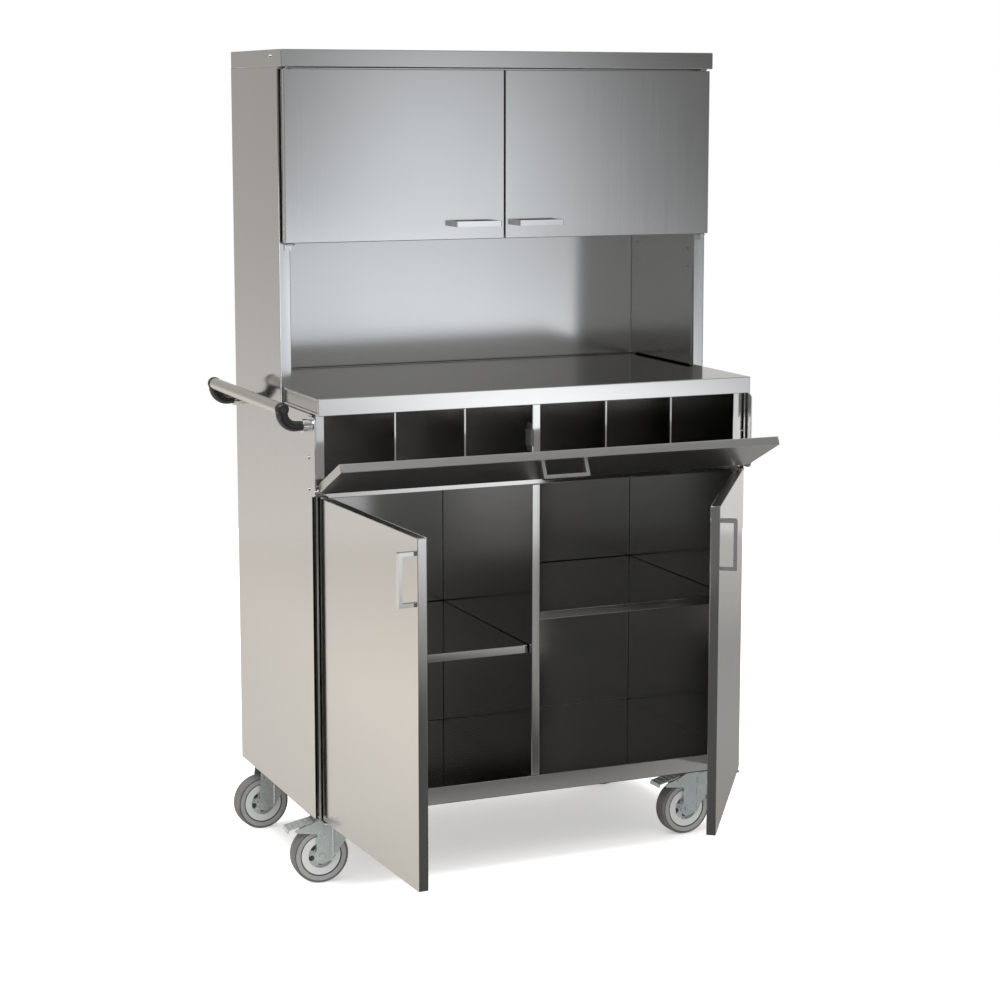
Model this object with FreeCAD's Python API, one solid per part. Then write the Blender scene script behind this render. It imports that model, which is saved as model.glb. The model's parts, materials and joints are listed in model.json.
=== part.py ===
import FreeCAD, Part
import math
import os

# Waiter service station on castors: cupboard with two doors, six pigeonholes behind a drop-down flap,
# a worktop, an open niche and an upper cabinet. Millimetres, +Z up, x = 0 on the centre plane,
# origin on the floor under the middle of the body. Doors and flap are stored open, as they stand in use.

os.makedirs("parts", exist_ok=True)

V = FreeCAD.Vector
X_AXIS, Y_AXIS, Z_AXIS = V(1, 0, 0), V(0, 1, 0), V(0, 0, 1)
OVER = 1.0  # cutters run this far past the faces they cut

# ---- overall
BODY_W = 1032.0  # over the side panels
BODY_D = 565.0  # worktop front edge to back panel
BODY_H = 1790.0
WORKTOP_Z = 1070.0
CABINET_H = 369.0  # upper cabinet, underside of its floor to underside of the cap
PIGEONHOLE_H = 161.0  # middle floor to underside of the worktop
WHEEL_R = 62.5
CASTOR_HEAD_H = 33.0  # top of the wheel to underside of the base

# ---- carcass
SHEET = 1.5  # folded stainless sheet
SHOE = 2.0  # thicker sheet of the base channels
EDGE_H = 37.0  # depth of the worktop's and the cap's front edge
WORKTOP_INSET = 5.0  # worktop's ends behind the side panels' faces
RIM = 4.0  # worktop end plates stand back by this much
LOW_SETBACK = 32.5  # lower frame behind the worktop's front
UP_SETBACK = 234.5  # upper columns behind the worktop's front
CAP_SETBACK = 204.5
POST_W = 20.0  # lower front posts, square
POST_INSET = 9.0  # their outer face behind the side panels' faces
WALL_T = 27.0  # side wall, over both sheets
COLUMN_LIP = 20.0  # depth of the upper columns' inward return
LINER_LAP = 8.0  # upper wall sheet starts this far behind the column front
BACK_T = 7.5  # back wall, over both sheets
WALL_GAP = 4.0  # joint above the worktop
REAR_POST_D = 26.0
FLOOR_H = 38.5  # base tray
PARTITION_W = 19.5
MID_FLOOR_H = 18.5
FRONT_RETURN = 15.0
DIVIDER_HEM = 2.0  # half width of a divider's folded front edge
DIVIDER_HEM_D = 10.0
DECK_H = 18.0
DECK_SETBACK = 2.0  # cabinet floor and ceiling behind the columns
UP_GAP = 2.0  # joint between worktop and the walls beside it
BACK_GAP = 3.0
SEAT_D = 10.0  # worktop's folded foot on the frame
CHANNEL_W = 110.0

# ---- shelves and their pins
SHELF_H = 18.5
SHELF_SIDE_H = 10.0  # side flanges are shallower and sit on the pins
SHELF_CLEAR = 2.0
LOW_SHELF_SETBACK = 19.0  # behind the lower frame
UP_SHELF_SETBACK = 18.0  # behind the upper columns
SHELF_BACK_GAP = 7.0
PIN_R = 2.5
PIN_OUT = 6.0
PIN_HOLE_CLEAR = 0.05
LOW_PIN_IN = 37.0  # front pins behind the shelf's front
UP_PIN_IN = 11.0
REAR_PIN_IN = 25.0  # rear pins before the shelf's back
LOW_PIN_UP = 246.0  # lowest row above the floor
LOW_PIN_PITCH = 36.0
LOW_PIN_COUNT = 5
UP_PIN_DOWN = 82.5  # lowest row below the cabinet's floor
UP_PIN_PITCH = 41.0
UP_PIN_ROW_NUMBERS = (0, 1, 3, 4, 5, 6, 7, 8, 9)  # row 2 would lie in the cabinet's floor
LEFT_SHELF_ROW, RIGHT_SHELF_ROW, CABINET_SHELF_ROW = 1, 3, 5

# ---- doors
DOOR_GAP = 1.5  # half the gap between a pair
DOOR_INSET = 6.0  # hinge-side edge behind the side panels' faces
DOOR_T = 20.0
LOW_DOOR_OUT = 27.0  # outer face before the lower frame
UP_DOOR_OUT = 28.0  # outer face before the upper columns
LOW_DOOR_DROP = 1.0  # below the base
LOW_DOOR_LAP = 4.5  # over the middle floor's front
UP_DOOR_DROP = 4.0  # below the cabinet's floor
UP_DOOR_GAP = 4.0  # below the cap
PIVOT_INSET = 20.0  # pivot axis behind the side panels' faces
PIVOT_IN = 5.0  # and behind the door's outer face
PIVOT_R = 3.0
PIVOT_CLEAR = 0.05
PAN_CLEAR = 0.5  # round the pin where it passes the pan
PIVOT_BLOCK = 16.0
PIVOT_BLOCK_H = 20.0
PIN_REACH = 12.0
BRACKET_T = 3.0
BRACKET_GAP = 1.0
BRACKET_NOSE = 8.0
BRACKET_TAB_H = 15.0
LEFT_DOOR_ANGLE = 87.6  # degrees at rest
RIGHT_DOOR_ANGLE = 55.5  # degrees at rest

# ---- bow handles
BOW_PITCH = 100.0  # leg to leg
BOW_BAR = 8.0
BOW_W = 12.0
BOW_OUT = 35.0
BOW_CORNER = 2.5
BOW_SCREW_R = 2.0
BOW_SCREW_CLEAR = 0.2
BOW_SCREW_HEAD_R = 4.5
BOW_SCREW_HEAD_H = 1.8
BOW_SCREW_IN = 12.0
LOW_BOW_X = 17.5
LOW_BOW_DOWN = 81.5  # below the lower doors' top
UP_BOW_X = 75.3
UP_BOW_UP = 35.0  # above the upper doors' lower edge
FLAP_BOW_UP = 128.0  # above the flap's lower edge

# ---- drop-down flap
FLAP_INSET = 5.0  # ends behind the side panels' faces
FLAP_T = 19.0
FLAP_TOP_GAP = 5.4  # shut, below the worktop's edge
FLAP_FOOT = 8.0  # flat part of the lower edge, then a chamfer up to the inner face
FLAP_CHAMFER_H = 15.0
FLAP_PIVOT_SETBACK = 4.7  # behind the worktop's front
FLAP_PIVOT_UP = 2.6  # above the middle floor
FLAP_PIVOT_IN = 5.0  # from the outer face and from the lower edge
FLAP_PIN_R = 2.5
FLAP_PIN_IN = 16.0  # reach of the pin into the flap's end
FLAP_ANGLE = 65.0  # degrees at rest, on its stop
FLAP_BLOCK = 20.0
FLAP_BLOCK_H = 24.0
FLAP_BLOCK_WALL = 4.0  # block beyond the pivot's axis
LUG_T = 4.0
LUG_CLEAR = 0.4
LUG_HUB_R = 7.0
LUG_LEN = 14.0
LUG_HALF = 3.0
LUG_ANGLE = -35.0  # degrees, shut, from +Y towards +Z
STOP_R = 2.5
STOP_AT = 11.5
STOP_CLEAR = 0.1
CHEEK_T = 3.0
CHEEK_D = 46.0
CHEEK_SETBACK = 3.5  # behind the worktop's front
CHEEK_DROP = 10.0  # below the middle floor
CHEEK_TOP_GAP = 3.0  # below the worktop's edge
CHEEK_ROUND = 12.0
CHEEK_CUT = 8.0
CHEEK_SCREW_IN = 6.0  # from the rear edge
CHEEK_SCREW_UP = (13.0, 80.0)  # above the lower edge
CATCH_LOW, CATCH_HIGH = 54.0, 116.0  # catch plate above the middle floor
CATCH_SETBACK, CATCH_D = 1.0, 25.0
MAGNET_T, MAGNET_FRONT, MAGNET_REAR = 8.0, 12.0, 16.0
MAGNET_UP, MAGNET_H = 14.0, 35.0  # on the catch plate

# ---- push handle on the left side
TUBE_R = 13.0
TUBE_OUT = 68.0  # axis from the side panel
TUBE_DROP = 20.0  # axis below the worktop
TUBE_FRONT_IN, TUBE_REAR_IN = 20.5, 57.5  # elbows from the worktop's front and from the back
ELBOW_RISE = 37.0  # bolts to tube's axis
ELBOW_LOW_R, ELBOW_TOP_R = 10.5, 13.0  # grows round the bend
ELBOW_BEND = 30.0
ELBOW_RINGS = 7
NECK_R = 9.0
ROSETTE_R = 11.0
ROSETTE_T = 8.0
HEAD_R = 14.5
HEAD_OUT, HEAD_IN = 13.0, 2.0  # clamp head, beyond the elbow's axis and short of it
HEAD_ROUND = 9.0
HEAD_WALL = 4.0
COLLAR_R = 14.5
COLLAR_OUT, COLLAR_T = 14.0, 11.0  # from the side panel, then its own length
HANDLE_BOLT_R = 4.0
HANDLE_BOLT_L = 20.0  # inside the elbow
SINK_R = 7.0

# ---- castors
CASTOR_INSET = 72.0  # from the side panels' faces
CASTOR_FRONT_IN, CASTOR_REAR_IN = 90.5, 51.5
WHEEL_W = 36.0
TRAIL = 45.0
SWIVEL_DEGREES = {"fl": -3.3, "fr": 3.0, "rl": 2.5, "rr": -2.0}  # wheels trail towards -X
HUB_R = 43.5
HUB_W = 34.0
HUB_DISH_R = 28.0
HUB_WEB_T = 8.0
HUB_BOSS_R = 12.0
HUB_HOLE_COUNT = 5
HUB_HOLE_R, HUB_HOLE_AT = 6.5, 20.0
TYRE_ROUND = 5.0
LEG_IN = 21.0
LEG_T = 2.5
LEG_BOSS_R = 17.0
SIDE_PLAY = 0.5
AXLE_R = 4.0
AXLE_CLEAR = 0.05
AXLE_HEAD_R = 7.0
AXLE_HEAD_H = 3.5
AXLE_NUT_H = 4.5
FORK_DROP = 12.0  # top of the fork below the base
FORK_T = 3.0
FORK_NOSE = 28.0  # fork's front and rear ends from the swivel axis
FORK_REAR = 49.0
CROWN_DISC_R = 28.0
CROWN_R = (24.0, 21.0)
RIB_R, RIB_PROUD, RIB_BEHIND = 3.0, 1.8, 19.0
RACE_R, RACE_FLARE = 26.0, 4.0
RACE_DROP = 9.0  # underside of the race below the base
RACE_CLEAR = 0.1
KINGPIN_R = 5.0
KINGPIN_HEAD_R = 9.0
KINGPIN_HEAD_H = 3.0
KINGPIN_SUNK = 0.5
PLATE_W, PLATE_D, PLATE_T = 95.0, 75.0, 3.0
PLATE_ROUND = 6.0
BOLT_DX, BOLT_DY = 75.0, 55.0
BOLT_R = 3.0
BOLT_HOLE_R = 3.3
BOLT_HEX_R = 5.5
BOLT_HEAD_H = 4.0
BOLT_NUT_H = 5.0
BOLT_TIP = 9.0  # bolt above the base channel
PEDAL_BEHIND, PEDAL_UP = 25.0, 5.0  # pivot behind the axle and above the wheel's top
PEDAL_PIN_R = 3.0
PEDAL_PIN_OUT = 1.0
PEDAL_ARM_IN, PEDAL_ARM_T = 14.0, 2.5
PEDAL_HALF = 20.0
SHOE_BEHIND, SHOE_DOWN, SHOE_R = 7.5, 9.0, 2.0  # brake shoe from the pedal's pivot
GRIP_R, GRIP_SUNK, GRIP_IN, GRIP_PITCH = 1.6, 0.3, 2.0, 12.0  # ribs on the pedal's tread
GRIP_COUNT = 4

# ---- small screws
SCREW_R, SCREW_HEAD_R, SCREW_HEAD_H = 2.0, 4.5, 2.2
SCREW_IN = 6.0
CAP_SCREW_IN, CAP_SCREW_DOWN = 74.5, 14.0  # from the cap's front and top
RIVET_IN, RIVET_UP = 12.0, 88.0  # before the back panel and above the worktop
RIVET_L = 4.0
RIVET_HEAD_R, RIVET_HEAD_H = 3.2, 1.2

# ---- planes across the body
HALF = BODY_W / 2
SKIN_IN = HALF - SHEET
LINER_IN = HALF - WALL_T
LINER_OUT = LINER_IN + SHEET
POST_OUT = HALF - POST_INSET
POST_IN = POST_OUT - POST_W
HALF_PART = PARTITION_W / 2
DOOR_EDGE = HALF - DOOR_INSET
PIVOT_X = HALF - PIVOT_INSET
FLAP_HALF = HALF - FLAP_INSET
CASTOR_X = HALF - CASTOR_INSET
CHANNEL_X = (CASTOR_X - CHANNEL_W / 2, CASTOR_X + CHANNEL_W / 2)
TUBE_X = -HALF - TUBE_OUT
COLLAR_X = (-HALF - COLLAR_OUT - COLLAR_T, -HALF - COLLAR_OUT)

# ---- planes from front to back
FRONT, BACK = -BODY_D / 2, BODY_D / 2
BACK_IN = BACK - SHEET
INNER_BACK_Y = BACK - BACK_T
LOW_FRONT = FRONT + LOW_SETBACK
UP_FRONT = FRONT + UP_SETBACK
CAP_FRONT = FRONT + CAP_SETBACK
POST_REAR = LOW_FRONT + POST_W
SHELF_BACK = INNER_BACK_Y - SHELF_BACK_GAP
LOW_SHELF_FRONT = LOW_FRONT + LOW_SHELF_SETBACK
UP_SHELF_FRONT = UP_FRONT + UP_SHELF_SETBACK
LOW_PIN_Y = (LOW_SHELF_FRONT + LOW_PIN_IN, SHELF_BACK - REAR_PIN_IN)
UP_PIN_Y = (UP_SHELF_FRONT + UP_PIN_IN, SHELF_BACK - REAR_PIN_IN)
LOW_DOOR_Y = LOW_FRONT - LOW_DOOR_OUT
UP_DOOR_Y = UP_FRONT - UP_DOOR_OUT
FLAP_PIVOT_Y = FRONT + FLAP_PIVOT_SETBACK
CHEEK_FRONT = FRONT + CHEEK_SETBACK
CHEEK_REAR = CHEEK_FRONT + CHEEK_D
CHEEK_SCREW_Y = CHEEK_REAR - CHEEK_SCREW_IN
TUBE_Y = (FRONT + TUBE_FRONT_IN, BACK - TUBE_REAR_IN)  # elbow centres
CASTOR_Y = (FRONT + CASTOR_FRONT_IN, BACK - CASTOR_REAR_IN)
RIVET_Y = BACK_IN - RIVET_IN
CAP_SCREW_Y = CAP_FRONT + CAP_SCREW_IN

# ---- heights
BASE_Z = 2 * WHEEL_R + CASTOR_HEAD_H  # castor plates bolt on here
FLOOR_TOP = BASE_Z + FLOOR_H
FLOOR_UNDER = FLOOR_TOP - SHEET
TOP_UNDER = WORKTOP_Z - EDGE_H
MID_FLOOR_TOP = TOP_UNDER - PIGEONHOLE_H
MID_FLOOR_UNDER = MID_FLOOR_TOP - MID_FLOOR_H
CAP_Z = BODY_H - EDGE_H
CABINET_FLOOR_Z = CAP_Z - CABINET_H
LOW_DOOR_Z = (BASE_Z - LOW_DOOR_DROP, MID_FLOOR_UNDER + LOW_DOOR_LAP)
UP_DOOR_Z = (CABINET_FLOOR_Z - UP_DOOR_DROP, CAP_Z - UP_DOOR_GAP)
LOW_BOW_Z = LOW_DOOR_Z[1] - LOW_BOW_DOWN
UP_BOW_Z = UP_DOOR_Z[0] + UP_BOW_UP
LOW_PIN_ROWS = [FLOOR_TOP + LOW_PIN_UP + LOW_PIN_PITCH * n for n in range(LOW_PIN_COUNT)]
UP_PIN_ROWS = [CABINET_FLOOR_Z - UP_PIN_DOWN + UP_PIN_PITCH * n for n in UP_PIN_ROW_NUMBERS]
FLAP_PIVOT_Z = MID_FLOOR_TOP + FLAP_PIVOT_UP
FLAP_LOW = FLAP_PIVOT_Z - FLAP_PIVOT_IN
FLAP_H = TOP_UNDER - FLAP_TOP_GAP - FLAP_LOW
CHEEK_Z = (MID_FLOOR_TOP - CHEEK_DROP, TOP_UNDER - CHEEK_TOP_GAP)
CHEEK_SCREW_Z = [CHEEK_Z[0] + up for up in CHEEK_SCREW_UP]
TUBE_Z = WORKTOP_Z - TUBE_DROP
MOUNT_Z = TUBE_Z - ELBOW_RISE
RIVET_Z = WORKTOP_Z + RIVET_UP
CAP_SCREW_Z = BODY_H - CAP_SCREW_DOWN

# ---- castor, from its swivel axis
PLATE_UNDER = BASE_Z - PLATE_T
RACE_Z = BASE_Z - RACE_DROP
FORK_TOP = BASE_Z - FORK_DROP
LEG_OUT = LEG_IN + LEG_T
PEDAL_X, PEDAL_Z = -TRAIL - PEDAL_BEHIND, 2 * WHEEL_R + PEDAL_UP


def box(x0, x1, y0, y1, z0, z1):
    """Block between two opposite corners."""
    return Part.makeBox(x1 - x0, y1 - y0, z1 - z0, V(x0, y0, z0))


def rod(x, y, z, axis, r, length):
    return Part.makeCylinder(r, length, V(x, y, z), axis)


def drill_x(x0, x1, y, z, r):
    """Cutter for a round hole through everything between two planes."""
    return rod(x0 - OVER, y, z, X_AXIS, r, x1 - x0 + 2 * OVER)


def drill_y(x, y0, y1, z, r):
    return rod(x, y0 - OVER, z, Y_AXIS, r, y1 - y0 + 2 * OVER)


def drill_z(x, y, z0, z1, r):
    return rod(x, y, z0 - OVER, Z_AXIS, r, z1 - z0 + 2 * OVER)


def circle(centre, axis, r):
    return Part.Wire(Part.makeCircle(r, centre, axis))


def join(*shapes):
    return shapes[0].fuse(list(shapes[1:])).removeSplitter()


def prism(points, axis, start, end):
    """Polygon pulled along an axis: (y, z) points along X, (x, z) points along Y."""
    if axis == "x":
        wire = [V(start, a, b) for a, b in points]
        pull = V(end - start, 0, 0)
    else:
        wire = [V(a, start, b) for a, b in points]
        pull = V(0, end - start, 0)
    return Part.Face(Part.makePolygon(wire + wire[:1])).extrude(pull)


def mirrored(shape):
    return shape.mirror(V(0, 0, 0), X_AXIS)


def both(shape):
    return [shape, mirrored(shape)]


def turned(shape, centre, axis, degrees):
    copy = shape.copy()
    copy.rotate(centre, axis, degrees)
    return copy


def save(node, *shapes):
    solids = [s for shape in shapes for s in shape.Solids]
    for s in solids:
        if not s.isValid():
            raise ValueError(node + " has an invalid solid")
    whole = solids[0] if len(solids) == 1 else Part.makeCompound(solids)
    whole.exportStep("parts/" + node + ".step")
    print(node, len(solids))


def pin_holes(x0, x1, rows, columns):
    """Row of cutters for shelf pins, along X."""
    return Part.makeCompound([drill_x(x0, x1, y, z, PIN_R + PIN_HOLE_CLEAR) for y in columns for z in rows])


def side_panel():
    """Right-hand outer skin with the upper column folded from it."""
    outline = [
        (LOW_FRONT, BASE_Z),
        (BACK, BASE_Z),
        (BACK, CAP_Z),
        (UP_FRONT, CAP_Z),
        (UP_FRONT, TOP_UNDER),
        (LOW_FRONT, TOP_UNDER),
    ]
    lip_low = WORKTOP_Z + UP_GAP
    panel = join(
        prism(outline, "x", SKIN_IN, HALF),
        box(LINER_OUT, SKIN_IN, UP_FRONT, UP_FRONT + SHEET, TOP_UNDER, CAP_Z),
        box(LINER_OUT, LINER_OUT + SHEET, UP_FRONT + SHEET, UP_FRONT + COLUMN_LIP, lip_low, CAP_Z),
        box(CHANNEL_X[1], SKIN_IN, POST_REAR, BACK_IN, BASE_Z, BASE_Z + SHEET),
    )
    for z in CHEEK_SCREW_Z:
        panel = panel.cut(drill_x(SKIN_IN, HALF, CHEEK_SCREW_Y, z, SCREW_R))
    return panel


def wall_liners():
    """Right-hand inner wall sheets, below and above the worktop, with their pin holes."""
    lower = box(LINER_IN, LINER_OUT, POST_REAR, BACK_IN, FLOOR_TOP, TOP_UNDER)
    upper = box(LINER_IN, LINER_OUT, UP_FRONT + LINER_LAP, BACK_IN, WORKTOP_Z + WALL_GAP, CAP_Z)
    lower = lower.cut(pin_holes(LINER_IN, LINER_OUT, LOW_PIN_ROWS, LOW_PIN_Y))
    upper = upper.cut(pin_holes(LINER_IN, LINER_OUT, UP_PIN_ROWS, UP_PIN_Y))
    return lower, upper.cut(drill_x(LINER_IN, LINER_OUT, RIVET_Y, RIVET_Z, SCREW_R))


def inner_back(z0, z1):
    sheet = box(-LINER_IN, LINER_IN, INNER_BACK_Y, INNER_BACK_Y + SHEET, z0, z1)
    flange = box(LINER_IN - SHEET, LINER_IN, INNER_BACK_Y + SHEET, BACK_IN, z0, z1)
    return join(sheet, *both(flange))


def rear_post():
    y0 = BACK_IN - REAR_POST_D
    post = join(
        box(LINER_OUT, SKIN_IN, y0, y0 + SHEET, FLOOR_TOP, CAP_Z),
        box(LINER_OUT, LINER_OUT + SHEET, y0, BACK_IN, FLOOR_TOP, CAP_Z),
        box(SKIN_IN - SHEET, SKIN_IN, y0, BACK_IN, FLOOR_TOP, CAP_Z),
    )
    return post.cut(drill_x(LINER_OUT, LINER_OUT + SHEET, RIVET_Y, RIVET_Z, SCREW_R))


def front_post():
    tube = box(POST_IN, POST_OUT, LOW_FRONT, POST_REAR, BASE_Z, TOP_UNDER)
    low, high = BASE_Z - OVER, TOP_UNDER + OVER
    bore = box(POST_IN + SHEET, POST_OUT - SHEET, LOW_FRONT + SHEET, POST_REAR - SHEET, low, high)
    tongue = box(POST_OUT - SHEET, SKIN_IN, POST_REAR - SHEET, POST_REAR, BASE_Z, TOP_UNDER)
    return join(tube.cut(bore), tongue)


def post_room():
    """Space that sheets leave free for the two front posts."""
    room = box(POST_IN, HALF, LOW_FRONT - OVER, POST_REAR, BASE_Z - OVER, TOP_UNDER + OVER)
    return Part.makeCompound(both(room))


def base_tray():
    floor = box(-LINER_OUT, LINER_OUT, LOW_FRONT, BACK_IN, FLOOR_UNDER, FLOOR_TOP)
    rail = box(-POST_IN, POST_IN, LOW_FRONT, LOW_FRONT + SHEET, BASE_Z, FLOOR_UNDER)
    foot = box(-CHANNEL_X[0], CHANNEL_X[0], LOW_FRONT + SHEET, LOW_FRONT + POST_W, BASE_Z, BASE_Z + SHEET)
    rear = box(-LINER_OUT, LINER_OUT, BACK_IN - SHEET, BACK_IN, BASE_Z + SHEET, FLOOR_UNDER)
    return join(floor.cut(post_room()), rail, foot, rear)


def castor_spots():
    return [(x, y) for x in (-CASTOR_X, CASTOR_X) for y in CASTOR_Y]


def bolt_spots():
    return [
        (cx + sx * BOLT_DX / 2, cy + sy * BOLT_DY / 2)
        for cx, cy in castor_spots()
        for sx in (-1, 1)
        for sy in (-1, 1)
    ]


def base_channel():
    x0, x1 = CHANNEL_X
    y0, y1 = LOW_FRONT + SHEET, BACK_IN - SHEET
    channel = join(
        box(x0, x1, y0, y1, BASE_Z, BASE_Z + SHOE),
        box(x0, x0 + SHOE, y0, y1, BASE_Z + SHOE, FLOOR_UNDER),
        box(x1 - SHOE, x1, y0, y1, BASE_Z + SHOE, FLOOR_UNDER),
    )
    holes = [drill_z(x, y, BASE_Z, BASE_Z + SHOE, BOLT_HOLE_R) for x, y in bolt_spots() if x > 0]
    return channel.cut(Part.makeCompound(holes)).cut(post_room())


def partition(z0, z1):
    shell = box(-HALF_PART, HALF_PART, LOW_FRONT, INNER_BACK_Y, z0, z1)
    x, rear = HALF_PART - SHEET, INNER_BACK_Y + OVER
    inside = box(-x, x, LOW_FRONT + SHEET, rear, z0 - OVER, z1 + OVER)
    return shell.cut(inside)


def centre_partitions():
    lower = partition(FLOOR_TOP, MID_FLOOR_TOP - SHEET)
    notch = box(
        -HALF_PART, HALF_PART, LOW_FRONT, LOW_FRONT + SHEET + FRONT_RETURN, MID_FLOOR_UNDER, MID_FLOOR_TOP
    )
    lower = lower.cut(notch).cut(pin_holes(-HALF_PART, HALF_PART, LOW_PIN_ROWS, LOW_PIN_Y))
    return lower, partition(MID_FLOOR_TOP, TOP_UNDER)


def pigeonhole_dividers():
    clear = (POST_IN - HALF_PART - 4 * DIVIDER_HEM) / 3
    pieces = []
    for n in (1, 2):
        x = HALF_PART + n * clear + (2 * n - 1) * DIVIDER_HEM
        sheet = box(x - SHEET / 2, x + SHEET / 2, LOW_FRONT, INNER_BACK_Y, MID_FLOOR_TOP, TOP_UNDER)
        hem_rear = LOW_FRONT + DIVIDER_HEM_D
        hem = box(x - DIVIDER_HEM, x + DIVIDER_HEM, LOW_FRONT, hem_rear, MID_FLOOR_TOP, TOP_UNDER)
        pieces += both(join(sheet, hem))
    return pieces


def compartment_floor():
    z0, z1 = MID_FLOOR_UNDER, MID_FLOOR_TOP
    sheet = box(-LINER_IN, LINER_IN, LOW_FRONT, INNER_BACK_Y, z1 - SHEET, z1)
    front = box(-POST_IN, POST_IN, LOW_FRONT, LOW_FRONT + SHEET, z0, z1 - SHEET)
    back = LOW_FRONT + SHEET + FRONT_RETURN
    foot = box(-POST_IN, POST_IN, LOW_FRONT + SHEET, back, z0, z0 + SHEET)
    return join(sheet.cut(post_room()), front, foot)


def worktop():
    """Folded tray: deep front part over the flap, narrower rear part between the side walls."""
    half = HALF - WORKTOP_INSET
    end = half - RIM
    rear_half = LINER_IN - UP_GAP
    rear = INNER_BACK_Y - BACK_GAP
    under = WORKTOP_Z - SHEET
    seat = POST_REAR - SEAT_D
    parts = [
        box(-half, half, FRONT, UP_FRONT, under, WORKTOP_Z),
        box(-rear_half, rear_half, UP_FRONT, rear, under, WORKTOP_Z),
        box(-half, half, FRONT, FRONT + SHEET, TOP_UNDER, under),
        box(-end, end, FRONT + SHEET, seat, TOP_UNDER, TOP_UNDER + SHEET),
        box(-rear_half, rear_half, rear - SHEET, rear, TOP_UNDER, under),
    ]
    parts += both(box(end - SHEET, end, FRONT + SHEET, UP_FRONT, TOP_UNDER, under))
    parts += both(box(rear_half - SHEET, end, UP_FRONT - SHEET, UP_FRONT, TOP_UNDER, under))
    parts += both(box(rear_half, end, seat, UP_FRONT, TOP_UNDER, TOP_UNDER + SHEET))
    parts += both(box(rear_half - SHEET, rear_half, UP_FRONT, rear, TOP_UNDER, under))
    return join(*parts)


def worktop_core():
    x = LINER_IN - UP_GAP - SHEET
    return box(-x, x, POST_REAR - SEAT_D, INNER_BACK_Y - BACK_GAP - SHEET, TOP_UNDER, WORKTOP_Z - SHEET)


def top_cap():
    z0, z1 = CAP_Z, BODY_H - SHEET
    parts = [
        box(-HALF, HALF, CAP_FRONT, BACK, z1, BODY_H),
        box(-HALF, HALF, CAP_FRONT, CAP_FRONT + SHEET, z0, z1),
        box(-HALF, HALF, BACK_IN, BACK, z0, z1),
        box(-SKIN_IN, SKIN_IN, CAP_FRONT + SHEET, UP_FRONT + LINER_LAP, z0, z0 + SHEET),
    ]
    parts += both(box(SKIN_IN, HALF, CAP_FRONT + SHEET, BACK_IN, z0, z1))
    parts += both(box(LINER_IN, SKIN_IN, UP_FRONT + LINER_LAP, BACK_IN, z0, z0 + SHEET))
    cap = join(*parts)
    for side in both(drill_x(SKIN_IN, HALF, CAP_SCREW_Y, CAP_SCREW_Z, SCREW_R)):
        cap = cap.cut(side)
    return cap


def deck(z0, z1, sheet_on_top):
    """Folded cabinet floor or ceiling between the wall sheets."""
    y0 = UP_FRONT + DECK_SETBACK
    back = y0 + SHEET + FRONT_RETURN
    low, high = (z0, z1 - SHEET) if sheet_on_top else (z0 + SHEET, z1)
    sheet = box(-LINER_IN, LINER_IN, y0, INNER_BACK_Y, *((high, z1) if sheet_on_top else (z0, low)))
    front = box(-LINER_IN, LINER_IN, y0, y0 + SHEET, low, high)
    edge = (z0, z0 + SHEET) if sheet_on_top else (z1 - SHEET, z1)
    return join(sheet, front, box(-LINER_IN, LINER_IN, y0 + SHEET, back, *edge))


def shelf(x0, x1, front, row_z):
    """Loose shelf: deep front edge, shallow side flanges that sit on the pins."""
    low = row_z + PIN_R
    top = low + SHELF_SIDE_H
    return join(
        box(x0, x1, front, SHELF_BACK, top - SHEET, top),
        box(x0, x1, front, front + SHEET, top - SHELF_H, top - SHEET),
        box(x0, x1, front + SHEET, front + FRONT_RETURN, top - SHELF_H, top - SHELF_H + SHEET),
        box(x0, x1, SHELF_BACK - SHEET, SHELF_BACK, low, top - SHEET),
        box(x0, x0 + SHEET, front + SHEET, SHELF_BACK - SHEET, low, top - SHEET),
        box(x1 - SHEET, x1, front + SHEET, SHELF_BACK - SHEET, low, top - SHEET),
    )


def shelves():
    side, mid = LINER_IN - SHELF_CLEAR, HALF_PART + SHELF_CLEAR
    return [
        shelf(-side, -mid, LOW_SHELF_FRONT, LOW_PIN_ROWS[LEFT_SHELF_ROW]),
        shelf(mid, side, LOW_SHELF_FRONT, LOW_PIN_ROWS[RIGHT_SHELF_ROW]),
        shelf(-side, side, UP_SHELF_FRONT, UP_PIN_ROWS[CABINET_SHELF_ROW]),
    ]


def shelf_pins():
    """Studs with a collar, pushed into the pin holes under each shelf."""

    def stud(face, into, y, z):
        # into is +1 when the stud points towards +X from the wall face
        x0 = min(face, face + into * PIN_OUT)
        shank = rod(x0, y, z, X_AXIS, PIN_R, PIN_OUT)
        tail = rod(min(face, face - into * SHEET), y, z, X_AXIS, PIN_R, SHEET)
        return join(shank, tail)

    pins = []
    for y in LOW_PIN_Y:
        for side, row in ((-1, LEFT_SHELF_ROW), (1, RIGHT_SHELF_ROW)):
            pins.append(stud(side * LINER_IN, -side, y, LOW_PIN_ROWS[row]))
            pins.append(stud(side * HALF_PART, side, y, LOW_PIN_ROWS[row]))
    for y in UP_PIN_Y:
        for side in (-1, 1):
            pins.append(stud(side * LINER_IN, -side, y, UP_PIN_ROWS[CABINET_SHELF_ROW]))
    return pins


def flap_angle_point(degrees, radius):
    """Point (y, z) at an angle and distance from the flap's pivot."""
    a = math.radians(degrees)
    return FLAP_PIVOT_Y + radius * math.cos(a), FLAP_PIVOT_Z + radius * math.sin(a)


def stop_point():
    beside = math.asin((LUG_HALF + STOP_R + STOP_CLEAR) / STOP_AT)
    return flap_angle_point(LUG_ANGLE + FLAP_ANGLE + math.degrees(beside), STOP_AT)


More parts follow.
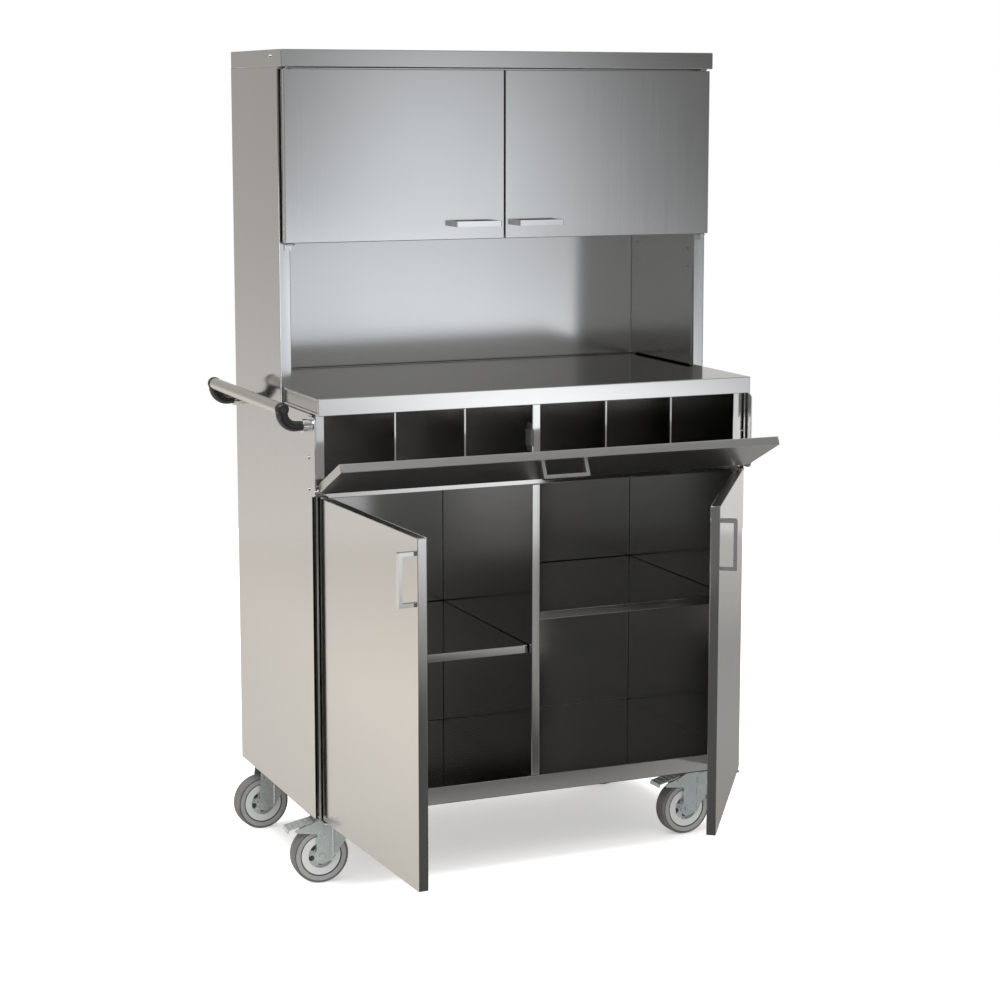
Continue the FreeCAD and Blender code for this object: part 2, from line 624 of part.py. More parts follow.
def hinge_cheek():
    """Right-hand plate that carries the flap's pivot, screwed over the edge of the side panel."""
    z0, z1 = CHEEK_Z
    y0, y1 = CHEEK_FRONT, CHEEK_REAR
    turn = [
        (y0 + CHEEK_ROUND * (1 - math.sin(a)), z0 + CHEEK_ROUND * (1 - math.cos(a)))
        for a in [math.pi / 2 * n / 8 for n in range(9)]
    ]
    outline = turn + [(y0, z1 - CHEEK_CUT), (y0 + CHEEK_CUT, z1), (y1, z1), (y1, z0)]
    plate = prism(outline, "x", HALF, HALF + CHEEK_T)
    y, z = stop_point()
    cuts = [
        drill_x(HALF, HALF + CHEEK_T, FLAP_PIVOT_Y, FLAP_PIVOT_Z, FLAP_PIN_R),
        drill_x(HALF, HALF + CHEEK_T, y, z, STOP_R),
    ]
    cuts += [drill_x(HALF, HALF + CHEEK_T, CHEEK_SCREW_Y, z, SCREW_R) for z in CHEEK_SCREW_Z]
    return plate.cut(Part.makeCompound(cuts))


def flap_pins():
    """Right-hand pivot pin and stop pin, riveted into the cheek."""
    out = HALF + CHEEK_T
    tip = FLAP_HALF - FLAP_PIN_IN
    lug_x = FLAP_HALF + LUG_CLEAR
    y, z = stop_point()
    return (
        rod(tip, FLAP_PIVOT_Y, FLAP_PIVOT_Z, X_AXIS, FLAP_PIN_R, out - tip),
        rod(lug_x, y, z, X_AXIS, STOP_R, out - lug_x),
    )


def flap_outline():
    y, z = FLAP_PIVOT_Y - FLAP_PIVOT_IN, FLAP_LOW
    return [
        (y, z),
        (y + FLAP_FOOT, z),
        (y + FLAP_T, z + FLAP_CHAMFER_H),
        (y + FLAP_T, z + FLAP_H),
        (y, z + FLAP_H),
    ]


def flap_pieces():
    """Flap shut: hollow shell, end caps with bearing block and stop lug, bow handle with its screws."""
    half = FLAP_HALF
    cap_in = half - SHEET
    outline = flap_outline()
    y, z = outline[0]
    solid = prism(outline, "x", -cap_in, cap_in)
    face = Part.Face(Part.makePolygon([V(-half, a, b) for a, b in outline + outline[:1]]))
    hollow = face.makeOffset2D(-SHEET).extrude(V(2 * half, 0, 0))
    shell = solid.cut(hollow)
    cap = prism(outline, "x", cap_in, half)
    block_y = FLAP_PIVOT_Y + FLAP_BLOCK_WALL
    block = box(half - FLAP_BLOCK, cap_in, y + SHEET, block_y, z + SHEET, z + FLAP_BLOCK_H)
    block = block.common(hollow)
    lug_x0, lug_x1 = half, half + LUG_T
    hub = rod(lug_x0, FLAP_PIVOT_Y, FLAP_PIVOT_Z, X_AXIS, LUG_HUB_R, LUG_T)
    # the hub keeps inside the flap's own outline at the front and below
    hub = hub.common(box(lug_x0, lug_x1, y, y + FLAP_H, z, z + FLAP_H))
    y1 = FLAP_PIVOT_Y + LUG_LEN
    lug = box(lug_x0, lug_x1, FLAP_PIVOT_Y, y1, FLAP_PIVOT_Z - LUG_HALF, FLAP_PIVOT_Z + LUG_HALF)
    lug = turned(lug, V(0, FLAP_PIVOT_Y, FLAP_PIVOT_Z), X_AXIS, LUG_ANGLE)
    bore = drill_x(half - FLAP_BLOCK, lug_x1, FLAP_PIVOT_Y, FLAP_PIVOT_Z, FLAP_PIN_R + PIVOT_CLEAR)
    end = join(cap, block, hub, lug).cut(bore)
    bow, screws, holes = bow_handle(0, y, z + FLAP_BOW_UP, False, FLAP_T)
    return shell.cut(holes), both(end), [bow] + screws


def bow_handle(x, y, z, upright, wall):
    """Flat-bar bow handle on an outer face at y that looks to -Y, with the cutter for its screw holes."""
    long, wide = (BOW_PITCH + BOW_BAR) / 2, BOW_W / 2
    half_x, half_z = (wide, long) if upright else (long, wide)
    bow = box(x - half_x, x + half_x, y - BOW_OUT, y, z - half_z, z + half_z)
    inner = long - BOW_BAR
    ix, iz = (wide + OVER, inner) if upright else (inner, wide + OVER)
    bow = bow.cut(box(x - ix, x + ix, y - BOW_OUT + BOW_BAR, y + OVER, z - iz, z + iz))
    corners = [
        e
        for e in bow.Edges
        if abs(e.CenterOfMass.y - (y - BOW_OUT)) < 0.01
        and abs(abs((e.CenterOfMass.z - z) if upright else (e.CenterOfMass.x - x)) - long) < 0.01
    ]
    bow = bow.makeFillet(BOW_CORNER, corners)
    screws, holes = [], []
    for s in (-1, 1):
        sx, sz = (x, z + s * BOW_PITCH / 2) if upright else (x + s * BOW_PITCH / 2, z)
        shank = rod(sx, y - BOW_SCREW_IN, sz, Y_AXIS, BOW_SCREW_R, wall + BOW_SCREW_IN)
        head = rod(sx, y + wall, sz, Y_AXIS, BOW_SCREW_HEAD_R, BOW_SCREW_HEAD_H)
        screws.append(join(shank, head))
        bow = bow.cut(shank)
        holes.append(drill_y(sx, y, y + wall, sz, BOW_SCREW_R + BOW_SCREW_CLEAR))
    return bow, screws, Part.makeCompound(holes)


def door_pieces(y, span, bow_at, upright):
    """Right-hand door, shut: outer pan, inner panel with welded pivot blocks, handle with its screws."""
    z0, z1 = span
    x0, x1 = DOOR_GAP, DOOR_EDGE
    inner_y = y + DOOR_T - SHEET
    pan = box(x0, x1, y, y + DOOR_T, z0, z1)
    pan = pan.cut(box(x0 + SHEET, x1 - SHEET, y + SHEET, y + DOOR_T + OVER, z0 + SHEET, z1 - SHEET))
    panel = box(x0 + SHEET, x1 - SHEET, inner_y, y + DOOR_T, z0 + SHEET, z1 - SHEET)
    for low in (z0 + SHEET, z1 - SHEET - PIVOT_BLOCK_H):
        half = PIVOT_BLOCK / 2
        block = box(PIVOT_X - half, PIVOT_X + half, y + SHEET, inner_y, low, low + PIVOT_BLOCK_H)
        panel = panel.fuse(block)
    panel = panel.removeSplitter().cut(drill_z(PIVOT_X, y + PIVOT_IN, z0, z1, PIVOT_R + PIVOT_CLEAR))
    pan = pan.cut(drill_z(PIVOT_X, y + PIVOT_IN, z0, z1, PIVOT_R + PAN_CLEAR))
    bow, screws, holes = bow_handle(bow_at[0], y, bow_at[1], upright, DOOR_T)
    return [pan.cut(holes)], [panel.cut(holes)], [bow] + screws


def pivot_bracket(y, face_z, frame_y, side, tab_side, foot_z=None):
    """Plate with a pivot pin, above a door (side 1) or below it (-1), and how it is held: by a tab up or
    down the frame, welded on edge (tab_side 0), or with a block under the post up to foot_z."""
    pivot_y = y + PIVOT_IN
    z0 = face_z + BRACKET_GAP if side > 0 else face_z - BRACKET_GAP - BRACKET_T
    half = PIVOT_BLOCK / 2
    plate = box(PIVOT_X - half, PIVOT_X + half, pivot_y, frame_y, z0, z0 + BRACKET_T)
    nose = rod(PIVOT_X, pivot_y, z0, Z_AXIS, BRACKET_NOSE, BRACKET_T)
    p0 = z0 - BRACKET_GAP - PIN_REACH if side > 0 else z0 + BRACKET_T
    pin = rod(PIVOT_X, pivot_y, p0, Z_AXIS, PIVOT_R, PIN_REACH + BRACKET_GAP)
    if foot_z:
        foot = box(PIVOT_X - half, PIVOT_X + half, frame_y, frame_y + 2 * half, z0, foot_z)
        return join(plate, nose, pin, foot)
    if not tab_side:
        return join(plate, nose, pin)
    t0 = z0 if tab_side > 0 else z0 + BRACKET_T - BRACKET_TAB_H
    tab = box(PIVOT_X - half, PIVOT_X + half, frame_y - BRACKET_T, frame_y, t0, t0 + BRACKET_TAB_H)
    return join(plate, nose, tab, pin)


def door_brackets():
    pieces = []
    for y, span, frame_y, below, above in (
        (LOW_DOOR_Y, LOW_DOOR_Z, LOW_FRONT, (0, BASE_Z), (1,)),
        (UP_DOOR_Y, UP_DOOR_Z, UP_FRONT, (-1,), (0,)),
    ):
        pieces += both(pivot_bracket(y, span[0], frame_y, -1, *below))
        pieces += both(pivot_bracket(y, span[1], frame_y, 1, *above))
    return pieces


def flap_catch():
    """Catch plate on the centre divider, with the magnet block that holds the shut flap."""
    x = -HALF_PART
    y, z = LOW_FRONT + CATCH_SETBACK, MID_FLOOR_TOP + CATCH_LOW
    plate = box(x - SHEET, x, y, y + CATCH_D, z, MID_FLOOR_TOP + CATCH_HIGH)
    z += MAGNET_UP
    magnet_y = (LOW_FRONT - MAGNET_FRONT, LOW_FRONT + MAGNET_REAR)
    return plate, box(x - SHEET - MAGNET_T, x - SHEET, *magnet_y, z, z + MAGNET_H)


def handle_elbow(y, base_x, outward):
    """Moulded elbow: rosette on the side, neck, growing bend up, clamp head round the tube's end."""
    left = V(-1, 0, 0)
    rosette = rod(base_x, y, MOUNT_Z, left, ROSETTE_R, ROSETTE_T)
    neck = rod(base_x, y, MOUNT_Z, left, NECK_R, base_x - COLLAR_X[0])
    rings = [circle(V(COLLAR_X[0], y, MOUNT_Z), left, ELBOW_LOW_R)]
    for n in range(ELBOW_RINGS):
        a = math.pi / 2 * n / (ELBOW_RINGS - 1)
        at = V(
            TUBE_X + ELBOW_BEND * (1 - math.sin(a)),
            y,
            MOUNT_Z + ELBOW_BEND * (1 - math.cos(a)),
        )
        r = ELBOW_LOW_R + (ELBOW_TOP_R - ELBOW_LOW_R) * (n + 1) / ELBOW_RINGS
        rings.append(circle(at, V(-math.cos(a), 0, math.sin(a)), r))
    rings.append(circle(V(TUBE_X, y, TUBE_Z), Z_AXIS, ELBOW_TOP_R))
    bend = Part.makeLoft(rings, True)
    tip, root = y + outward * HEAD_OUT, y - outward * HEAD_IN
    head = rod(TUBE_X, min(tip, root), TUBE_Z, Y_AXIS, HEAD_R, HEAD_OUT + HEAD_IN)
    head = head.makeFillet(HEAD_ROUND, [e for e in head.Edges if abs(e.CenterOfMass.y - tip) < 0.01])
    seat = tip - outward * HEAD_WALL
    deep = 2 * HEAD_R + HEAD_OUT
    bore = rod(TUBE_X, min(seat, seat - outward * deep), TUBE_Z, Y_AXIS, TUBE_R, deep)
    bolt = rod(base_x + OVER, y, MOUNT_Z, left, HANDLE_BOLT_R, HANDLE_BOLT_L + OVER)
    return join(rosette, neck, bend, head).cut(bore).cut(bolt)


def handle_collar(y):
    ring = rod(COLLAR_X[0], y, MOUNT_Z, X_AXIS, COLLAR_R, COLLAR_X[1] - COLLAR_X[0])
    return ring.cut(drill_x(*COLLAR_X, y, MOUNT_Z, NECK_R))


def push_tube():
    y0, y1 = TUBE_Y[0] - HEAD_OUT + HEAD_WALL, TUBE_Y[1] + HEAD_OUT - HEAD_WALL
    tube = rod(TUBE_X, y0, TUBE_Z, Y_AXIS, TUBE_R, y1 - y0)
    return tube.cut(drill_y(TUBE_X, y0, y1, TUBE_Z, TUBE_R - SHEET))


def hexagon(x, y, z, r, height):
    corners = [math.radians(60 * n) for n in range(6)]
    pts = [V(x + r * math.cos(a), y + r * math.sin(a), z) for a in corners]
    return Part.Face(Part.makePolygon(pts + pts[:1])).extrude(V(0, 0, height))


def fasteners():
    """Castor bolts with nuts, cheek screws, cap screws, wall rivets and the push handle's two bolts."""
    pieces = []
    for x, y in bolt_spots():
        head = hexagon(x, y, PLATE_UNDER - BOLT_HEAD_H, BOLT_HEX_R, BOLT_HEAD_H)
        shank = rod(x, y, PLATE_UNDER, Z_AXIS, BOLT_R, PLATE_T + SHOE + BOLT_TIP)
        nut = hexagon(x, y, BASE_Z + SHOE, BOLT_HEX_R, BOLT_NUT_H)
        pieces.append(join(head, shank, nut))
    out = HALF + CHEEK_T
    for z in CHEEK_SCREW_Z:
        head = rod(out, CHEEK_SCREW_Y, z, X_AXIS, SCREW_HEAD_R, SCREW_HEAD_H)
        shank = rod(HALF - SCREW_IN, CHEEK_SCREW_Y, z, X_AXIS, SCREW_R, SCREW_IN + CHEEK_T)
        pieces += both(join(head, shank))
    y, z = CAP_SCREW_Y, CAP_SCREW_Z
    head = rod(HALF, y, z, X_AXIS, SCREW_HEAD_R, SCREW_HEAD_H)
    pieces += both(join(head, rod(HALF - SCREW_IN, y, z, X_AXIS, SCREW_R, SCREW_IN)))
    head = rod(LINER_IN - RIVET_HEAD_H, RIVET_Y, RIVET_Z, X_AXIS, RIVET_HEAD_R, RIVET_HEAD_H)
    pieces += both(join(head, rod(LINER_IN, RIVET_Y, RIVET_Z, X_AXIS, SCREW_R, RIVET_L)))
    pieces += handle_bolts()
    return pieces


def sink():
    """Countersink in the left cheek for the handle's front bolt."""
    return Part.makeCone(SINK_R, HANDLE_BOLT_R, CHEEK_T, V(-HALF, TUBE_Y[0], MOUNT_Z), V(-1, 0, 0))


def handle_bolts():
    """Left side: a countersunk bolt through the cheek in front, a hexagon bolt through the skin behind."""
    y = TUBE_Y[1]
    shank = rod(-HALF - CHEEK_T, TUBE_Y[0], MOUNT_Z, V(-1, 0, 0), HANDLE_BOLT_R, HANDLE_BOLT_L)
    head = rod(-SKIN_IN, y, MOUNT_Z, X_AXIS, BOLT_HEX_R + 1, BOLT_HEAD_H)
    rear = rod(-SKIN_IN, y, MOUNT_Z, V(-1, 0, 0), HANDLE_BOLT_R, SHEET + HANDLE_BOLT_L)
    return [join(sink(), shank), join(head, rear)]


def castor_plate(cx, cy):
    w, d = PLATE_W / 2, PLATE_D / 2
    plate = box(cx - w, cx + w, cy - d, cy + d, PLATE_UNDER, BASE_Z)
    upright = [e for e in plate.Edges if abs(e.BoundBox.ZLength - PLATE_T) < 0.01]
    plate = plate.makeFillet(PLATE_ROUND, upright)
    race = Part.makeCone(RACE_R, RACE_R + RACE_FLARE, PLATE_UNDER - RACE_Z, V(cx, cy, RACE_Z), Z_AXIS)
    cuts = [drill_z(cx, cy, RACE_Z, BASE_Z, KINGPIN_R + PIVOT_CLEAR)]
    for sx in (-1, 1):
        for sy in (-1, 1):
            x, y = cx + sx * BOLT_DX / 2, cy + sy * BOLT_DY / 2
            cuts.append(drill_z(x, y, RACE_Z, BASE_Z, BOLT_HOLE_R))
    return join(plate, race).cut(Part.makeCompound(cuts))


def castor_fork(braked):
    """Swivel fork about the origin, wheel trailing to -X. A braked fork has a longer hood."""
    # the foot sweeps round the axle, the hood follows the pedal's pivot
    foot = [(53, 30.5), (35, 6.5), (25, -10.5), (9, -14.5), (-11, -0.5)]
    hood = [(15, -17), (-30, -11), (-34, -7.5), (-32, -3.5), (4, 7)] if braked else [(16, -18)]
    leg = [(FORK_NOSE, FORK_TOP), (FORK_NOSE, FORK_TOP - LEG_IN)]
    leg += [(x - TRAIL, z + WHEEL_R) for x, z in foot]
    leg += [(x + PEDAL_X, z + PEDAL_Z) for x, z in hood]
    leg.append((-FORK_REAR, FORK_TOP))
    under = FORK_TOP - FORK_T
    parts = [
        box(-FORK_REAR, FORK_NOSE, -LEG_OUT, LEG_OUT, under, FORK_TOP),
        rod(0, 0, under, Z_AXIS, CROWN_DISC_R, FORK_T),
        Part.makeCone(*CROWN_R, RACE_Z - RACE_CLEAR - FORK_TOP, V(0, 0, FORK_TOP), Z_AXIS),
    ]
    for y0 in (LEG_IN, -LEG_OUT):
        parts.append(prism(leg, "y", y0, y0 + LEG_T))
        parts.append(rod(-TRAIL, y0, WHEEL_R, Y_AXIS, LEG_BOSS_R, LEG_T))
    if braked:
        x, z = -FORK_REAR, FORK_TOP
        parts.append(prism([(x, z), (x - 9, z - 4.7), (x - 9, z - 8), (x, under)], "y", -LEG_OUT, LEG_OUT))
    # one pressed rib upright on the outer face of each leg
    rib_low, rib_high = WHEEL_R - LEG_T, FORK_TOP - 14
    for side in (-1, 1):
        y = side * (LEG_OUT + RIB_PROUD - RIB_R)
        parts.append(rod(-RIB_BEHIND, y, rib_low, Z_AXIS, RIB_R, rib_high - rib_low))
    cuts = [
        drill_z(0, 0, under, RACE_Z, KINGPIN_R),
        drill_y(-TRAIL, -LEG_OUT, LEG_OUT, WHEEL_R, AXLE_R),
        box(-2 * PLATE_W, PLATE_W, -LEG_IN, LEG_IN, 0, rib_high),
    ]
    if braked:
        cuts.append(drill_y(PEDAL_X, -LEG_OUT, LEG_OUT, PEDAL_Z, PEDAL_PIN_R))
    fork = join(*parts)
    for cut in cuts:
        fork = fork.cut(cut)
    return fork


def castor_pins(braked):
    """Kingpin rivet, axle bolt with its nut, and the pedal's pin on a braked castor."""
    under = FORK_TOP - FORK_T
    kingpin = join(
        rod(0, 0, under, Z_AXIS, KINGPIN_R, BASE_Z - KINGPIN_SUNK - under),
        rod(0, 0, under - KINGPIN_HEAD_H, Z_AXIS, KINGPIN_HEAD_R, KINGPIN_HEAD_H),
    )
    axle = join(
        rod(-TRAIL, -LEG_OUT, WHEEL_R, Y_AXIS, AXLE_R, 2 * LEG_OUT),
        rod(-TRAIL, -LEG_OUT - AXLE_HEAD_H, WHEEL_R, Y_AXIS, AXLE_HEAD_R, AXLE_HEAD_H),
        rod(-TRAIL, LEG_OUT, WHEEL_R, Y_AXIS, AXLE_HEAD_R, AXLE_NUT_H),
    )
    pins = [kingpin, axle]
    if braked:
        tip = LEG_OUT + PEDAL_PIN_OUT
        pins.append(rod(PEDAL_X, -tip, PEDAL_Z, Y_AXIS, PEDAL_PIN_R, 2 * tip))
    return pins


def castor_pedal():
    """Foot lever of the wheel brake: two arms, a brake shoe between them and a ribbed tread."""

    def from_pivot(points):
        return [(PEDAL_X + x, PEDAL_Z + z) for x, z in points]

    arm = [(7, 2), (5, 8.6), (-10, 5.3), (-25, 2), (-25, -1), (-9, -10.2), (-5, -9), (4, -4.5)]
    front, bend = V(9, 0, 11), V(-49, 0, -1.5)  # the tread's upper face
    tread = [(front.x, front.z), (9, 8), (-46, -4), (-48, -10.5), (-51, -9.5), (bend.x, bend.z)]
    parts = [
        prism(from_pivot(tread), "y", -PEDAL_HALF, PEDAL_HALF),
        rod(PEDAL_X - SHOE_BEHIND, -PEDAL_ARM_IN, PEDAL_Z - SHOE_DOWN, Y_AXIS, SHOE_R, 2 * PEDAL_ARM_IN),
    ]
    for y0 in (PEDAL_ARM_IN, -PEDAL_ARM_IN - PEDAL_ARM_T):
        parts.append(prism(from_pivot(arm), "y", y0, y0 + PEDAL_ARM_T))
    along = (bend - front).normalize()
    for n in range(1, GRIP_COUNT + 1):
        at = front + along * (GRIP_PITCH * n)
        x, z = PEDAL_X + at.x, PEDAL_Z + at.z - GRIP_SUNK
        parts.append(rod(x, -PEDAL_HALF + GRIP_IN, z, Y_AXIS, GRIP_R, 2 * (PEDAL_HALF - GRIP_IN)))
    bore = drill_y(PEDAL_X, -PEDAL_HALF, PEDAL_HALF, PEDAL_Z, PEDAL_PIN_R + PIVOT_CLEAR)
    return join(*parts).cut(bore)


def wheel_hub():
    """Dished hub with round openings in its web, boss up to the fork legs."""

    def disc(r, width):
        return rod(-TRAIL, -width / 2, WHEEL_R, Y_AXIS, r, width)

    rim = disc(HUB_R, HUB_W).cut(disc(HUB_DISH_R, HUB_W + 2 * OVER))
    boss = disc(HUB_BOSS_R, 2 * (LEG_IN - SIDE_PLAY))
    web = disc(HUB_DISH_R + OVER, HUB_WEB_T)
    holes = []
    for n in range(HUB_HOLE_COUNT):
        a = math.radians(135 + 360 * n / HUB_HOLE_COUNT)
        x, z = -TRAIL + HUB_HOLE_AT * math.cos(a), WHEEL_R + HUB_HOLE_AT * math.sin(a)
        holes.append(drill_y(x, -HUB_WEB_T / 2, HUB_WEB_T / 2, z, HUB_HOLE_R))
    hub = join(rim, web.cut(Part.makeCompound(holes)), boss)
    return hub.cut(disc(AXLE_R + AXLE_CLEAR, 2 * LEG_IN))


def wheel_tyre():
    tyre = rod(-TRAIL, -WHEEL_W / 2, WHEEL_R, Y_AXIS, WHEEL_R, WHEEL_W)
    tyre = tyre.makeFillet(TYRE_ROUND, [e for e in tyre.Edges if e.BoundBox.YLength < 0.01])
    return tyre.cut(drill_y(-TRAIL, -WHEEL_W / 2, WHEEL_W / 2, WHEEL_R, HUB_R))


# ---- carcass
right_panel = side_panel()
left_panel = mirrored(right_panel)
left_panel = left_panel.cut(drill_x(-HALF, -SKIN_IN, TUBE_Y[1], MOUNT_Z, HANDLE_BOLT_R))
save("side_panel_right", right_panel)
save("side_panel_left", left_panel)
save("back_panel", box(-SKIN_IN, SKIN_IN, BACK_IN, BACK, BASE_Z, CAP_Z))
save("inner_backs", inner_back(FLOOR_TOP, TOP_UNDER), inner_back(WORKTOP_Z + WALL_GAP, CAP_Z))
save("wall_liners", *[s for liner in wall_liners() for s in both(liner)])
save("rear_posts", *both(rear_post()))
save("front_posts", *both(front_post()))
save("base_tray", base_tray())
save("base_channels", *both(base_channel()))
save("centre_partitions", *centre_partitions())
save("pigeonhole_dividers", *pigeonhole_dividers())
save("compartment_floor", compartment_floor())
save("worktop", worktop())
save("worktop_core", worktop_core())
save("top_cap", top_cap())
save(
    "cabinet_decks",
    deck(CABINET_FLOOR_Z, CABINET_FLOOR_Z + DECK_H, True),
    deck(CAP_Z - DECK_H, CAP_Z, False),
)
save("shelves", *shelves())
save("shelf_pins", *shelf_pins())
save("hinge_cheeks", hinge_cheek(), mirrored(hinge_cheek()).cut(sink()))
save("flap_pins", *[s for pin in flap_pins() for s in both(pin)])
save("door_brackets", *door_brackets())
save("flap_catch", *flap_catch())
save("fasteners", *fasteners())
save("push_tube", push_tube())
save(
    "handle_elbows",
    handle_elbow(TUBE_Y[0], -HALF - CHEEK_T, -1),
    handle_elbow(TUBE_Y[1], -HALF, 1),
)
save("handle_collars", *[handle_collar(y) for y in TUBE_Y])
save("castor_plates", *[castor_plate(x, y) for x, y in castor_spots()])

# ---- doors
for level, y, span, bow_at, upright, angles in (
    ("lower", LOW_DOOR_Y, LOW_DOOR_Z, (LOW_BOW_X, LOW_BOW_Z), True, (RIGHT_DOOR_ANGLE, LEFT_DOOR_ANGLE)),
    ("upper", UP_DOOR_Y, UP_DOOR_Z, (UP_BOW_X, UP_BOW_Z), False, (0, 0)),
):
    for piece, shapes in zip(("pan", "panel", "handle"), door_pieces(y, span, bow_at, upright)):
        for side, sign, angle in (("right", 1, angles[0]), ("left", -1, angles[1])):
            hung = shapes if sign > 0 else [mirrored(s) for s in shapes]
            centre = V(sign * PIVOT_X, y + PIVOT_IN, 0)
            swung = [turned(s, centre, Z_AXIS, sign * angle) for s in hung]
            save(level + "_" + side + "_door_" + piece, *swung)

# ---- flap
flap_centre = V(0, FLAP_PIVOT_Y, FLAP_PIVOT_Z)
shell, ends, bow_set = flap_pieces()
save("flap_shell", turned(shell, flap_centre, X_AXIS, FLAP_ANGLE))
save("flap_ends", *[turned(s, flap_centre, X_AXIS, FLAP_ANGLE) for s in ends])
save("flap_handle", *[turned(s, flap_centre, X_AXIS, FLAP_ANGLE) for s in bow_set])

# ---- castors
for name, cx, cy in (
    ("fl", -CASTOR_X, CASTOR_Y[0]),
    ("fr", CASTOR_X, CASTOR_Y[0]),
    ("rl", -CASTOR_X, CASTOR_Y[1]),
    ("rr", CASTOR_X, CASTOR_Y[1]),
):
    braked = name in ("fl", "fr")
    pieces = {
        "fork": [castor_fork(braked)],
        "pins": castor_pins(braked),
        "hub": [wheel_hub()],
        "tyre": [wheel_tyre()],
    }
    if braked:
        pieces["pedal"] = [castor_pedal()]
    for piece, shapes in pieces.items():
        placed = []
        for s in shapes:
            s = turned(s, V(0, 0, 0), Z_AXIS, SWIVEL_DEGREES[name])
            s.translate(V(cx, cy, 0))
            placed.append(s)
        save("castor_" + name + "_" + piece, *placed)
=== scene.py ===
"""Waiter service station: finishes, small pieces and studio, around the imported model."""

import json
import math

import bmesh
import bpy
from bpy.props import FloatProperty, FloatVectorProperty, PointerProperty
from mathutils import Matrix, Vector

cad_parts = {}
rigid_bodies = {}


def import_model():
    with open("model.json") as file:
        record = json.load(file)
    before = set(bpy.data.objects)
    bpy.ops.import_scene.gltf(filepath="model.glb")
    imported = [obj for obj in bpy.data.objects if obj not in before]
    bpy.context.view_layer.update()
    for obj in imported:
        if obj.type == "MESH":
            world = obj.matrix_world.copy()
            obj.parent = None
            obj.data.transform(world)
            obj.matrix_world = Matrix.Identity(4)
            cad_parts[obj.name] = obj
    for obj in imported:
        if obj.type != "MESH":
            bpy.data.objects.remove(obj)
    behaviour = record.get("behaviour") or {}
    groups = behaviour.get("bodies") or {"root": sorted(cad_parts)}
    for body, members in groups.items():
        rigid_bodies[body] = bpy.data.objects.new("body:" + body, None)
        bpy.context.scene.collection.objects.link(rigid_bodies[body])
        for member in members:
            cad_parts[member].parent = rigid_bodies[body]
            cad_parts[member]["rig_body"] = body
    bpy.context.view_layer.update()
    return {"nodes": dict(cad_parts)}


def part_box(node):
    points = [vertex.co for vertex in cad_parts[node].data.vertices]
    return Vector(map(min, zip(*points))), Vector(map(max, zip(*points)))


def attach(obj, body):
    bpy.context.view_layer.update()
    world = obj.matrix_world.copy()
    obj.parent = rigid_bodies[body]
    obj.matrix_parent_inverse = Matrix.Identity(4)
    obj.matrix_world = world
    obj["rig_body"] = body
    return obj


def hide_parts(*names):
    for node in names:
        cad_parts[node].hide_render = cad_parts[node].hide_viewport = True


bl_info = {
    "name": "Waiter Service Station",
    "version": (1, 0, 0),
    "blender": (4, 5, 0),
    "location": "3D View > Sidebar > Station",
    "description": "Finishes a stainless waiter service station on castors and sets up its studio",
    "category": "Object",
}

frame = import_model()
NODES = frame["nodes"]
MM = 0.001

# ---- sheet nodes by the direction of their brushed grain
UPRIGHT_GRAIN = (
    "side_panel_left",
    "side_panel_right",
    "back_panel",
    "rear_posts",
    "front_posts",
    "centre_partitions",
    "hinge_cheeks",
)
LEVEL_GRAIN = (
    "base_tray",
    "base_channels",
    "compartment_floor",
    "worktop",
    "top_cap",
    "cabinet_decks",
    "shelves",
    "pigeonhole_dividers",
)
CORNERS = ("fl", "fr", "rl", "rr")
BRAKED = ("fl", "fr")
DOORS = [level + "_" + side + "_door" for level in ("lower", "upper") for side in ("left", "right")]

# ---- mesh work, in metres and radians
WELD_REACH = 0.00001
SEAM_REACH = 0.000001
FLAT_ANGLE = math.radians(0.5)
SHARP_ANGLE = math.radians(40)
SMOOTH_ANGLE = math.radians(38)
SHORT_EDGE = 6 * MM
FLAT_WEIGHT = 100
FOLD_STEPS = 3


# ---------------------------------------------------------------- properties


def colour_property(name, description, default):
    return FloatVectorProperty(
        name=name, description=description, subtype="COLOR", size=3, min=0.0, max=1.0, default=default
    )


def length_property(name, description, default):
    return FloatProperty(
        name=name, description=description, subtype="DISTANCE", unit="LENGTH", default=default
    )


class StationSizes(bpy.types.PropertyGroup):
    """Small sizes that the finished pieces add."""

    fold_radius: length_property("Fold radius", "Outside radius of the folded sheet edges", 0.0016)
    cut_radius: length_property("Cut radius", "Rounding of the sheets' cut edges", 0.00035)
    edge_radius: length_property("Edge radius", "Rounding of bars, blocks and castings", 0.0005)
    inner_radius: length_property("Inner radius", "Hollow folds in the corners of the compartments", 0.002)
    rim_width: length_property("Rim width", "Rim round the worktop's hollow ends", 0.005)
    tyre_crown: length_property("Tyre crown", "How much the tread falls towards its shoulders", 0.0006)
    tyre_step: length_property("Sidewall step", "Depth of the grooves round the tyre's sidewall", 0.0008)


class StationFinishes(bpy.types.PropertyGroup):
    """Colours and polish of the finishes."""

    steel: colour_property("Sheet steel", "Satin stainless sheet", (0.60, 0.595, 0.585))
    steel_roughness: FloatProperty(
        name="Sheet roughness", description="Polish of the sheet steel", default=0.085, min=0.02, max=1.0
    )
    tube: colour_property("Tube steel", "Ground stainless tube", (0.66, 0.65, 0.62))
    bright: colour_property("Bright steel", "Polished handles and pins", (0.72, 0.72, 0.72))
    chrome: colour_property("Chrome", "Chromed collars", (0.80, 0.80, 0.80))
    zinc: colour_property("Zinc", "Zinc plated castor steel", (0.62, 0.69, 0.70))
    hub: colour_property("Hub", "Moulded castor hubs", (0.31, 0.37, 0.38))
    tyre: colour_property("Tyre", "Rubber sidewall", (0.38, 0.38, 0.39))
    tread: colour_property("Tread", "Rubber tread", (0.20, 0.195, 0.19))
    plastic: colour_property("Dark plastic", "Moulded elbows", (0.018, 0.018, 0.019))
    board: colour_property("Board", "Core of the worktop", (0.55, 0.42, 0.28))


